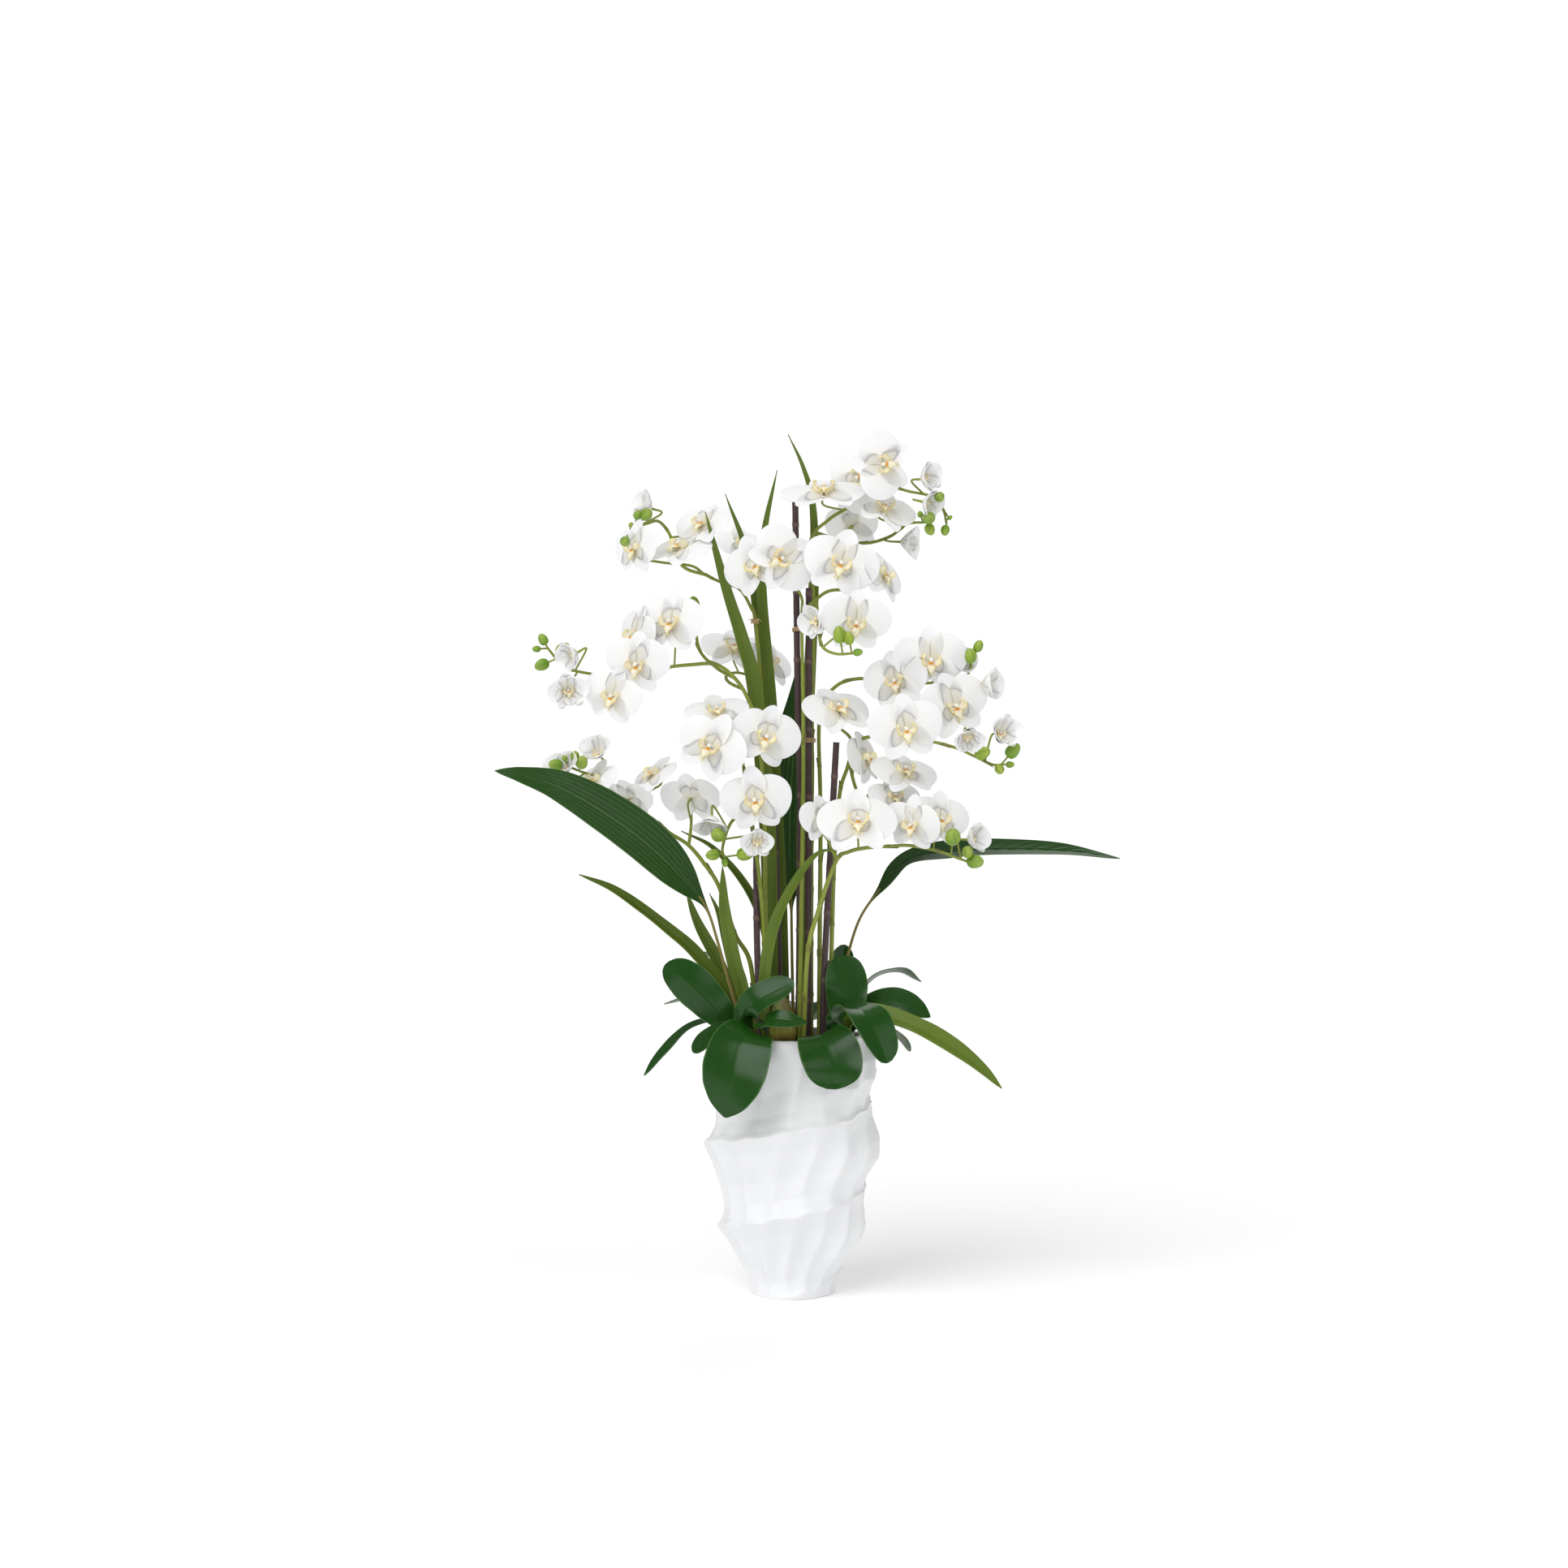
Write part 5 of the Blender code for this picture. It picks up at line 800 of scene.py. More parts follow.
def chip_tree():
    """Scatters flat bark chips over a surface."""
    tree, start, end = node_tree("bark_chips", [
        ("Chips per m2", "NodeSocketFloat", 60000.0), ("Chip Size", "NodeSocketFloat", 0.006),
        ("Seed", "NodeSocketInt", 3), ("Finish", "NodeSocketMaterial", None)])
    new, link = tree.nodes.new, tree.links.new
    scatter = new("GeometryNodeDistributePointsOnFaces")
    link(start.outputs["Geometry"], scatter.inputs["Mesh"])
    link(start.outputs["Chips per m2"], scatter.inputs["Density"])
    link(start.outputs["Seed"], scatter.inputs["Seed"])
    chip = new("GeometryNodeMeshIcoSphere")
    chip.inputs["Radius"].default_value = 0.5
    chip.inputs["Subdivisions"].default_value = 1
    jag = new("GeometryNodeSetPosition")
    noise = new("ShaderNodeTexNoise")
    noise.inputs["Scale"].default_value = 2.3
    shift = new("ShaderNodeVectorMath")
    shift.operation = "SUBTRACT"
    link(noise.outputs["Color"], shift.inputs[0])
    shift.inputs[1].default_value = (0.5, 0.5, 0.5)
    scale = new("ShaderNodeVectorMath")
    scale.operation = "SCALE"
    link(shift.outputs[0], scale.inputs[0])
    scale.inputs["Scale"].default_value = 0.9
    link(chip.outputs[0], jag.inputs["Geometry"])
    link(scale.outputs[0], jag.inputs["Offset"])
    place = new("GeometryNodeInstanceOnPoints")
    link(scatter.outputs["Points"], place.inputs["Points"])
    link(jag.outputs[0], place.inputs["Instance"])
    turn = new("FunctionNodeRandomValue")
    turn.data_type = "FLOAT_VECTOR"
    turn.inputs[0].default_value = (-0.5, -0.5, 0.0)
    turn.inputs[1].default_value = (0.5, 0.5, 6.28)
    link(turn.outputs[0], place.inputs["Rotation"])
    size = new("FunctionNodeRandomValue")
    size.data_type = "FLOAT_VECTOR"
    size.inputs[0].default_value = (0.6, 0.35, 0.22)
    size.inputs[1].default_value = (1.6, 0.9, 0.55)
    grow = new("ShaderNodeVectorMath")
    grow.operation = "SCALE"
    link(size.outputs[0], grow.inputs[0])
    link(start.outputs["Chip Size"], grow.inputs["Scale"])
    link(grow.outputs[0], place.inputs["Scale"])
    tone = new("FunctionNodeRandomValue")
    toned = stored(tree, place.outputs[0], "INSTANCE", "chip_tone", tone.outputs[1])
    return closed_tree(tree, toned, start, end)


# ---- flowers ------------------------------------------------------------------------
def facing_frame(turn, tilt, roll):
    """Right, up and forward of a bloom; turn to the right, tilt up, roll clockwise."""
    turn, tilt, roll = (math.radians(v) for v in (turn, tilt, roll))
    forward = np.array((math.sin(turn) * math.cos(tilt), -math.cos(turn) * math.cos(tilt), math.sin(tilt)))
    right = np.array((math.cos(turn), math.sin(turn), 0.0))
    up = np.cross(right, -forward)
    return right * math.cos(roll) - up * math.sin(roll), up * math.cos(roll) + right * math.sin(roll), forward


class Placed:
    """Turns grids and paths given in flower axes (right, up, forward; in spans) into places in the part."""

    def __init__(self, bloom):
        x, y, z, turn, tilt, roll, span, self.openness = bloom
        self.right, self.up, self.forward = facing_frame(turn, tilt, roll)
        self.centre = planted((x, y, z))
        self.span = span * MM

    def __call__(self, local):
        local = np.asarray(local, float) * self.span
        return (self.centre + local[..., 0:1] * self.right + local[..., 1:2] * self.up
                + local[..., 2:3] * self.forward)


def petal(shape, placed, rng, heading, length, width, form, fold, curl, arch, lift, tint):
    """One petal or sepal; form is (where it is widest, how blunt its ends are, width of its claw)."""
    widest, blunt, claw = form
    rows, cols = 17, 13
    s = (0.5 - 0.5 * np.cos(math.pi * np.linspace(0, 1, rows)))
    t = np.sin(np.linspace(-1, 1, cols) * math.pi / 2)
    half = width / 2 * (np.sin(math.pi * np.clip(s, 1e-4, 0.9995) ** widest) ** blunt) + claw * (1 - s) ** 3
    bend = np.radians(fold + curl * s)
    ds = np.diff(s, prepend=0.0) * length
    reach, rise = np.cumsum(np.cos(bend) * ds), np.cumsum(np.sin(bend) * ds)
    across = np.outer(half, t)
    wave = sum(rng.uniform(0.2, 1.0) * np.sin(s[:, None] * k * 2.4 + rng.uniform(0, 6.3) + 1.3 * np.sign(t)[None, :])
               for k in (1.5, 2.7, 4.1))
    proud = (arch * np.abs(across) ** 1.8 * 4 + 0.0065 * wave * np.abs(t)[None, :] ** 2.2 * np.sin(math.pi * s)[:, None] ** 0.5
             - 0.005 * np.exp(-(t[None, :] / 0.12) ** 2) * (1 - s[:, None]) * np.sin(math.pi * s[:, None]))
    skew = 0.05 * width * np.sin(math.pi * s)[:, None] * rng.uniform(-1, 1)
    along_x, along_y = math.cos(math.radians(heading)), math.sin(math.radians(heading))
    away = reach[:, None] - proud * np.sin(bend)[:, None]
    height = rise[:, None] + lift + proud * np.cos(bend)[:, None]
    side = across + skew
    grid = np.stack((away * along_x - side * along_y, away * along_y + side * along_x, height), axis=2)
    uv = np.stack((np.broadcast_to(t[None, :], across.shape) * 0.5 + 0.5,
                   np.broadcast_to(s[:, None], across.shape)), axis=2)
    paint = np.stack((uv[..., 1], np.full_like(across, tint), np.abs(uv[..., 0] * 2 - 1) ** 2,
                      np.ones_like(across)), axis=2)
    shape.sheet(placed(grid), PETAL_SHEET, uv, paint)


def add_petals(shape, placed, rng):
    """Two broad petals in front of three narrower sepals; a young bloom is a rounded cup."""
    tint = rng.uniform(0, 1)
    vary = lambda spread: rng.uniform(-spread, spread)
    cup = max(0.0, min(1.0, (0.85 - placed.openness) / 0.4))
    fold, curl, arch = 6 + 16 * cup, -16 + 50 * cup, 0.06 + 0.35 * cup
    full = 1 + 0.25 * cup
    for heading, long, wide in ((90, 0.46, 0.31), (232, 0.455, 0.30), (308, 0.455, 0.30)):
        petal(shape, placed, rng, heading + vary(4), long * (1 + vary(0.03)) * full,
              wide * (1 + vary(0.05)) * full ** 2, (0.92, 0.52, 0.03), fold + vary(4) * (1 - cup),
              curl + vary(8) * (1 - cup), arch + 0.15, -0.012, tint)
    for heading, side in ((12, 1), (168, -1)):
        petal(shape, placed, rng, heading + vary(4), 0.50 * (1 + vary(0.02)) * full,
              0.58 * (1 + vary(0.05)) * full, (0.84, 0.44, 0.02), fold + 2 + vary(4) * (1 - cup),
              curl - 3 + vary(8) * (1 - cup), arch - 0.16 * (1 - cup), 0.012, tint)


def add_heart(shape, placed, rng):
    """Column, three-lobed lip with its callus, and the two thin horns at the lip's end."""
    tint = rng.uniform(0, 1)
    rows, cols = 11, 9
    s = np.linspace(0, 1, rows)
    t = np.linspace(-1, 1, cols)

    def lobe(centre_line, halves, across, dish, kind):
        line = smooth_path(centre_line, rows - 1)
        half = np.interp(s, np.linspace(0, 1, len(halves)), halves)
        along = np.gradient(line, axis=0)
        along /= np.linalg.norm(along, axis=1, keepdims=True)
        over = np.broadcast_to(np.asarray(across, float), line.shape)
        over = over - along * (over * along).sum(axis=1, keepdims=True)
        over = over / np.linalg.norm(over, axis=1, keepdims=True)
        face = np.cross(along, over)
        grid = (line[:, None] + over[:, None] * (half[:, None] * t)[..., None]
                + face[:, None] * (dish * half[:, None] * t ** 2)[..., None])
        flat = np.broadcast_to(t, grid.shape[:2])
        far = np.broadcast_to(s[:, None], grid.shape[:2])
        uv = np.stack((flat * 0.5 + 0.5, far), axis=2)
        paint = np.stack((far, np.full(flat.shape, tint), np.full(flat.shape, kind), np.ones(flat.shape)),
                         axis=2)
        shape.sheet(placed(grid), PETAL_SHEET * 1.3, uv, paint)

    lobe([(0, -0.015, 0.03), (0, -0.045, 0.075), (0, -0.09, 0.11), (0, -0.145, 0.115), (0, -0.18, 0.095)],
         (0.020, 0.036, 0.060, 0.068, 0.046, 0.024, 0.010), (-1, 0, 0), 0.45, 0.0)
    for side in (1, -1):
        lobe([(0.018 * side, -0.02, 0.035), (0.055 * side, -0.03, 0.06), (0.088 * side, -0.002, 0.085),
              (0.096 * side, 0.04, 0.10), (0.078 * side, 0.07, 0.112)],
             (0.020, 0.042, 0.062, 0.066, 0.050, 0.014), (0, -0.6 * side, 1.0 * side), 0.5, 0.2)
        horn = smooth_path([(0.008 * side, -0.176, 0.095), (0.024 * side, -0.203, 0.082),
                            (0.044 * side, -0.198, 0.095), (0.04 * side, -0.174, 0.116),
                            (0.026 * side, -0.166, 0.11)], 14)
        shape.tube(placed(horn), placed.span * np.linspace(0.0065, 0.002, 15), 6, (1.0, tint, 0.0, 1))
        callus = smooth_path([(0.008 * side, -0.028, 0.045), (0.012 * side, -0.04, 0.068),
                              (0.016 * side, -0.045, 0.088), (0.013 * side, -0.054, 0.102)], 8)
        shape.tube(placed(callus),
                   placed.span * np.array((0.012, 0.016, 0.018, 0.017, 0.016, 0.015, 0.013, 0.009, 0.004)), 8,
                   (0.5, tint, 0.5, 1))
    column = smooth_path([(0, 0.0, -0.01), (0, 0.008, 0.04), (0, 0.006, 0.085), (0, -0.008, 0.122)], 12)
    girth = 0.85 * np.array((0.024, 0.022, 0.021, 0.022, 0.024, 0.027, 0.029, 0.031, 0.030, 0.033, 0.032,
                             0.024, 0.008))
    shape.tube(placed(column), placed.span * girth, 12, (0.2, tint, 1.0, 1))


def nearest_on_arms(arms, point, reach):
    """Point of the arms about one stalk length from the given point, low rather than high."""
    spots = np.vstack(arms)
    distance = np.linalg.norm(spots - point, axis=1)
    score = (np.abs(distance - reach) + 0.25 * np.maximum(0.0, spots[:, 2] - point[2])
             + 0.4 * np.maximum(0.0, distance - 2 * reach))
    return spots[int(np.argmin(score))]


def add_bract(shape, spot, along, radius, turn, length, tint):
    """Small pointed sheath that hugs a joint of a stem."""
    side = np.cross(along, UP if abs(along[2]) < 0.9 else np.array((1.0, 0, 0)))
    side /= np.linalg.norm(side)
    other = np.cross(along, side)
    s = np.linspace(0, 1, 7)
    t = np.linspace(-1, 1, 9)
    spread = 2.6 * (1 - s) ** 0.7 + 0.06
    angle = turn + spread[:, None] * t / 2 * 1.6
    out = radius * (1.06 + 0.5 * s[:, None] ** 2 + 0 * t)
    grid = (spot + along * (length * s)[:, None, None]
            + (out * np.cos(angle))[..., None] * side + (out * np.sin(angle))[..., None] * other)
    uv = np.stack(np.broadcast_arrays(t * 0.5 + 0.5, s[:, None]), axis=2)
    paint = np.stack(np.broadcast_arrays(0.5 + 0.5 * s[:, None] + 0 * t, tint, 1.0, 1.0), axis=2)
    shape.sheet(grid[::-1], 0.0004, uv[::-1], paint[::-1])


def stem_arm(shape, path, radii, rng, joints):
    """Round stem with swollen joints and a small sheath at each joint."""
    run = lengths(path)
    swell = np.ones(len(path))
    for at in joints:
        swell += 0.22 * np.exp(-((run - at) / 0.0016) ** 2)
    swell += 0.02 * np.sin(run / 0.011 + rng.uniform(0, 6))
    tint = rng.uniform(0, 1)
    paints = np.column_stack((run, np.full(len(run), tint), np.clip(swell - 1.05, 0, 1) * 4,
                              np.ones(len(run))))
    shape.tube(path, radii * swell, 10, paints=paints)
    along = np.gradient(path, axis=0)
    for at in joints:
        i = int(np.argmin(np.abs(run - at)))
        add_bract(shape, path[i], along[i] / np.linalg.norm(along[i]), radii[i], rng.uniform(0, 6.3),
                  rng.uniform(0.009, 0.015), tint)


def add_bud(shape, at, axis, radius, rng):
    """Closed bud: a plump drop with three seams and a blunt point."""
    s = np.linspace(0, 1, 15)
    path = at + axis * ((s[:, None] * 2.45 - 1.2) * radius)
    girth = radius * np.sqrt(np.clip(1 - (2 * s ** 0.9 - 1) ** 2, 0.006, 1)) * (1.0 - 0.14 * s)
    side = np.cross(axis, UP if abs(axis[2]) < 0.9 else np.array((1.0, 0, 0)))
    side /= np.linalg.norm(side)
    other = np.cross(axis, side)
    angles = np.arange(24) * 2 * math.pi / 24
    phase = rng.uniform(0, 6.3)
    seam = np.abs(np.cos(1.5 * (angles + phase))) ** 0.35
    rings, uvs, paints = [], [], []
    tint = rng.uniform(0, 1)
    for k, point in enumerate(path):
        r = girth[k] * (1 - 0.13 * (1 - seam))
        rings.append(point + (r * np.cos(angles))[:, None] * side + (r * np.sin(angles))[:, None] * other)
        uvs.append(np.column_stack((angles / 6.3, np.full(24, s[k]))))
        paints.append(np.column_stack((np.full(24, s[k]), np.full(24, tint), 1 - seam, np.ones(24))))
    shape.rings(rings, uvs, paints)


def build_spike(name, spec, looks):
    """Petals, hearts, buds and stems of one flower spike."""
    rng = np.random.default_rng(sum(ord(c) * (i + 1) for i, c in enumerate(name)))
    petals, hearts, stems, buds = Shape(), Shape(), Shape(), Shape()
    arms = []
    for k, route in enumerate(spec["arms"]):
        if k == 0:
            path = smooth_path(rooted(route), 220)
        else:
            path = [planted(p) for p in route]
            path[0] = nearest_on_arms(arms, path[0], 0.0)
            path = smooth_path(path, 60)
        run = lengths(path)
        first = STEM_R if k == 0 else STEM_R * 0.7
        radii = first + (STEM_R * 0.5 - first) * (run / run[-1]) ** 2
        gap = rng.uniform(0.055, 0.085)
        joints = [at for at in np.arange(gap, run[-1] - 0.01, gap * rng.uniform(0.85, 1.1))]
        stem_arm(stems, path, radii, rng, joints)
        arms.append(path[2:])
    for bloom in spec["blooms"]:
        placed = Placed(bloom)
        add_petals(petals, placed, rng)
        add_heart(hearts, placed, rng)
        behind = placed.centre - placed.forward * 0.016
        join = nearest_on_arms(arms, placed.centre, 0.034 if bloom[7] > 0.7 else 0.026)
        stalk = smooth_path([placed.centre - placed.forward * 0.0012, behind, join], 24)
        girth = PEDICEL_R * (1.0 + 0.35 * np.exp(-np.linspace(0, 1, 25) * 7))
        stems.tube(stalk, girth, 8, (0.9, rng.uniform(0, 1), 0, 1))
    for x, y, z, radius in spec["buds"]:
        at = planted((x, y, z))
        radius *= MM
        join = nearest_on_arms(arms, at, radius + 0.004)
        axis = (at - join) / np.linalg.norm(at - join)
        add_bud(buds, at, axis, radius, rng)
        stems.tube(smooth_path([join, at - axis * radius * 0.9], 8), PEDICEL_R * 0.9, 8,
                   (0.8, rng.uniform(0, 1), 0, 1))
    pieces = [(petals, "petals", looks["petal"], "petal"), (hearts, "hearts", looks["heart"], "petal"),
              (stems, "stems", looks["stem"], "strap_leaf")]
    if spec["buds"]:
        pieces.append((buds, "buds", looks["bud"], "strap_leaf"))
    for shape, part, mat, slot_name in pieces:
        settle(shape.to_object("%s_%s" % (name, part), mat), slot_name, name)


# ---- finishes -----------------------------------------------------------------------
def shade_group(name, inputs, outputs):
    """Shader node group with named inputs and outputs."""
    group = bpy.data.node_groups.new(name, "ShaderNodeTree")
    kinds = {"f": "NodeSocketFloat", "c": "NodeSocketColor", "v": "NodeSocketVector"}
    for title, kind, default in inputs:
        socket = group.interface.new_socket(title, in_out="INPUT", socket_type=kinds[kind])
        if default is not None:
            socket.default_value = default
    for title, kind in outputs:
        group.interface.new_socket(title, in_out="OUTPUT", socket_type=kinds[kind])
    return group, group.nodes.new("NodeGroupInput"), group.nodes.new("NodeGroupOutput")


class Wiring:
    """Short words for placing and joining shader nodes in one tree."""

    def __init__(self, tree):
        self.tree = tree

    def put(self, socket, value):
        """Joins a socket, or sets a plain value."""
        if isinstance(value, bpy.types.NodeSocket):
            self.tree.links.new(value, socket)
        else:
            socket.default_value = value

    def node(self, kind, outlet=0, settings=None, **sockets):
        """Places a node and returns one of its outputs."""
        node = self.tree.nodes.new(kind)
        for key, value in (settings or {}).items():
            setattr(node, key, value)
        for key, value in sockets.items():
            self.put(node.inputs[key.replace("_", " ")], value)
        return node.outputs[outlet]

    def math(self, operation, a, b=0.0, clamp=False):
        """Maths on two numbers or sockets."""
        node = self.tree.nodes.new("ShaderNodeMath")
        node.operation, node.use_clamp = operation, clamp
        self.put(node.inputs[0], a)
        self.put(node.inputs[1], b)
        return node.outputs[0]

    def mix(self, factor, a, b, blend="MIX"):
        """Blends two colours."""
        node = self.tree.nodes.new("ShaderNodeMix")
        node.data_type, node.blend_type = "RGBA", blend
        self.put(node.inputs[0], factor)
        self.put(node.inputs[6], a)
        self.put(node.inputs[7], b)
        return node.outputs[2]

    def tint(self, base, factor, share, colour):
        """Base moved towards a colour by a share of the factor."""
        return self.mix(self.math("MULTIPLY", factor, share), base, colour)

    def ramp(self, factor, stops):
        """Colour ramp from (place, colour) stops."""
        node = self.tree.nodes.new("ShaderNodeValToRGB")
        self.put(node.inputs[0], factor)
        ramp = node.color_ramp
        while len(ramp.elements) < len(stops):
            ramp.elements.new(0.5)
        for element, (place, colour) in zip(ramp.elements, stops):
            element.position = place
            element.color = (*colour, 1.0) if len(colour) == 3 else colour
        return node.outputs[0]

    def noise(self, vector, scale, detail=3.0, roughness=0.55):
        """Noise value at a place."""
        return self.node("ShaderNodeTexNoise", 0, None, Vector=vector, Scale=scale, Detail=detail,
                         Roughness=roughness)

    def group(self, group, **sockets):
        """Places a node group and returns its node."""
        node = self.tree.nodes.new("ShaderNodeGroup")
        node.node_tree = group
        for key, value in sockets.items():
            self.put(node.inputs[key.replace("_", " ")], value)
        return node

    def place(self):
        """Object coordinates of the shaded point."""
        return self.node("ShaderNodeTexCoord", 3)

    def paint(self):
        """Red, green and blue of the paint attribute, then its alpha."""
        attribute = self.tree.nodes.new("ShaderNodeAttribute")
        attribute.attribute_name = "paint"
        split = self.tree.nodes.new("ShaderNodeSeparateColor")
        self.tree.links.new(attribute.outputs["Color"], split.inputs[0])
        return (*split.outputs, attribute.outputs["Alpha"])

    def surface(self):
        """The surface UV, then its two parts."""
        uv = self.tree.nodes.new("ShaderNodeUVMap")
        uv.uv_map = "surface"
        split = self.tree.nodes.new("ShaderNodeSeparateXYZ")
        self.tree.links.new(uv.outputs[0], split.inputs[0])
        return uv.outputs[0], split.outputs[0], split.outputs[1]

    def bump(self, height, strength, distance):
        """Normal raised by a height."""
        return self.node("ShaderNodeBump", 0, None, Height=height, Strength=strength, Distance=distance)


def new_material(name, **settings):
    """Node material whose main shader has the settings given."""
    mat = bpy.data.materials.new(name)
    mat.use_nodes = True
    shader = mat.node_tree.nodes["Principled BSDF"]
    for key, value in settings.items():
        shader.inputs[key.replace("_", " ")].default_value = value
    return mat, shader, Wiring(mat.node_tree)


def mottle_group():
    """Cloudy variation and fine grain at two sizes."""
    group, start, end = shade_group("living_mottle", [("Vector", "v", None), ("Cloud Scale", "f", 20.0),
                                    ("Grain Scale", "f", 400.0)], [("Cloud", "f"), ("Grain", "f")])
    w = Wiring(group)
    w.put(end.inputs[0], w.noise(start.outputs[0], start.outputs[1], 4.0))
    w.put(end.inputs[1], w.noise(start.outputs[0], start.outputs[2], 2.0))
    return group


def stripe_group():
    """Fine lines that run along a surface, broken up by noise; Across runs 0 to 1."""
    group, start, end = shade_group("running_veins",
                                    [("Vector", "v", None), ("Across", "f", 0.5), ("Lines", "f", 30.0),
                                     ("Waver", "f", 0.3)], [("Line", "f"), ("Soft", "f")])
    w = Wiring(group)
    wander = w.math("MULTIPLY", w.math("SUBTRACT", w.noise(start.outputs[0], 14.0, 2.0), 0.5),
                    start.outputs[3])
    phase = w.math("MULTIPLY", w.math("ADD", w.math("MULTIPLY", start.outputs[1], start.outputs[2]), wander),
                   6.2832)
    wave = w.math("ADD", w.math("MULTIPLY", w.math("COSINE", phase), 0.5), 0.5)
    w.put(end.inputs[0], w.math("POWER", wave, 5.0))
    w.put(end.inputs[1], wave)
    return group


def fleck_group():
    """Small dark or light flecks with soft rims."""
    group, start, end = shade_group("flecks",
                                    [("Vector", "v", None), ("Scale", "f", 300.0), ("Size", "f", 0.3),
                                     ("Patchiness", "f", 0.5)], [("Mask", "f")])
    w = Wiring(group)
    cell = w.node("ShaderNodeTexVoronoi", 0, None, Vector=start.outputs[0], Scale=start.outputs[1])
    patch = w.math("GREATER_THAN", w.noise(start.outputs[0], 40.0, 2.0), start.outputs[3])
    dot = w.math("SUBTRACT", 1.0, w.math("DIVIDE", cell, start.outputs[2]), clamp=True)
    w.put(end.inputs[0], w.math("MULTIPLY", w.math("MULTIPLY", dot, 2.5, clamp=True), patch))
    return group


def build_looks(colours):
    """Every finish of the arrangement."""
    mottle, stripes, flecks = mottle_group(), stripe_group(), fleck_group()
    looks = {}

    mat, shader, w = new_material("petal_white", Roughness=0.55, Subsurface_Weight=0.55,
                                  Subsurface_Scale=0.004, Subsurface_Radius=(1.0, 1.0, 1.0))
    along, tint, edge, _ = w.paint()
    uv, across, far = w.surface()
    vein = w.group(stripes, Vector=uv, Across=across, Lines=13.0, Waver=1.6).outputs
    fine = w.group(stripes, Vector=uv, Across=across, Lines=31.0, Waver=2.4).outputs
    cloud = w.group(mottle, Vector=w.place(), Cloud_Scale=45.0, Grain_Scale=900.0).outputs
    base = w.tint(colours.petal, cloud[0], 0.35, (0.87, 0.88, 0.92, 1.0))
    base = w.mix(w.math("MULTIPLY", w.math("MULTIPLY", vein[0], w.math("SUBTRACT", 1.0, edge)), 0.16), base,
                 colours.petal_vein)
    base = w.tint(base, fine[0], 0.07, colours.petal_vein)
    throat = w.math("POWER", w.math("SUBTRACT", 1.0, along), 3.0)
    base = w.tint(base, throat, 0.8, (0.97, 0.90, 0.62, 1.0))
    w.put(shader.inputs["Base Color"], base)
    height = w.math("ADD", w.math("MULTIPLY", vein[1], 0.7), w.math("MULTIPLY", cloud[1], 0.3))
    w.put(shader.inputs["Normal"], w.bump(height, 0.14, 0.0004))
    w.put(shader.inputs["Roughness"], w.math("ADD", 0.48, w.math("MULTIPLY", cloud[0], 0.2)))
    looks["petal"] = mat

    mat, shader, w = new_material("flower_heart", Roughness=0.45)
    along, tint, kind, _ = w.paint()
    uv, across, far = w.surface()
    rim = w.math("POWER", w.math("ABSOLUTE", w.math("SUBTRACT", w.math("MULTIPLY", across, 2.0), 1.0)), 3.0)
    lip = w.tint((0.90, 0.87, 0.70, 1.0), rim, 0.75, colours.lip_edge)
    lip = w.mix(w.math("MULTIPLY", w.math("POWER", along, 3.0), 0.5), lip, (0.88, 0.79, 0.38, 1.0))
    stripe = w.group(stripes, Vector=uv, Across=across, Lines=7.0, Waver=1.0).outputs
    near = w.math("POWER", w.math("SUBTRACT", 1.0, along), 1.6)
    lip = w.mix(w.math("MULTIPLY", w.math("MULTIPLY", stripe[0], near), 0.45), lip, colours.lip_spot)
    spot = w.group(flecks, Vector=w.place(), Scale=420.0, Size=0.42, Patchiness=0.5).outputs[0]
    lip = w.tint(lip, spot, 0.4, colours.lip_spot)
    callus = w.tint((0.90, 0.44, 0.03, 1.0), spot, 0.6, (0.42, 0.06, 0.02, 1.0))
    lip = w.mix(w.math("GREATER_THAN", kind, 0.35), lip, callus)
    column = w.tint((0.86, 0.83, 0.76, 1.0), spot, 0.15, (0.6, 0.3, 0.4, 1.0))
    w.put(shader.inputs["Base Color"], w.mix(w.math("GREATER_THAN", kind, 0.75), lip, column))
    w.put(shader.inputs["Normal"], w.bump(w.noise(w.place(), 700.0), 0.25, 0.0004))
    looks["heart"] = mat

    mat, shader, w = new_material("green_stem", Roughness=0.42)
    along, tint, joint, _ = w.paint()
    cloud = w.group(mottle, Vector=w.place(), Cloud_Scale=60.0, Grain_Scale=1200.0).outputs
    base = w.mix(cloud[0], colours.stem, (0.13, 0.19, 0.012, 1.0))
    base = w.tint(base, tint, 0.35, (0.38, 0.40, 0.08, 1.0))
    base = w.tint(base, joint, 0.6, (0.16, 0.14, 0.03, 1.0))
    speck = w.group(flecks, Vector=w.place(), Scale=700.0, Size=0.30, Patchiness=0.56).outputs[0]
    base = w.tint(base, speck, 0.7, (0.05, 0.03, 0.01, 1.0))
    w.put(shader.inputs["Base Color"], base)
    w.put(shader.inputs["Roughness"], w.math("ADD", 0.34, w.math("MULTIPLY", cloud[0], 0.25)))
    w.put(shader.inputs["Normal"], w.bump(cloud[1], 0.3, 0.0004))
    looks["stem"] = mat

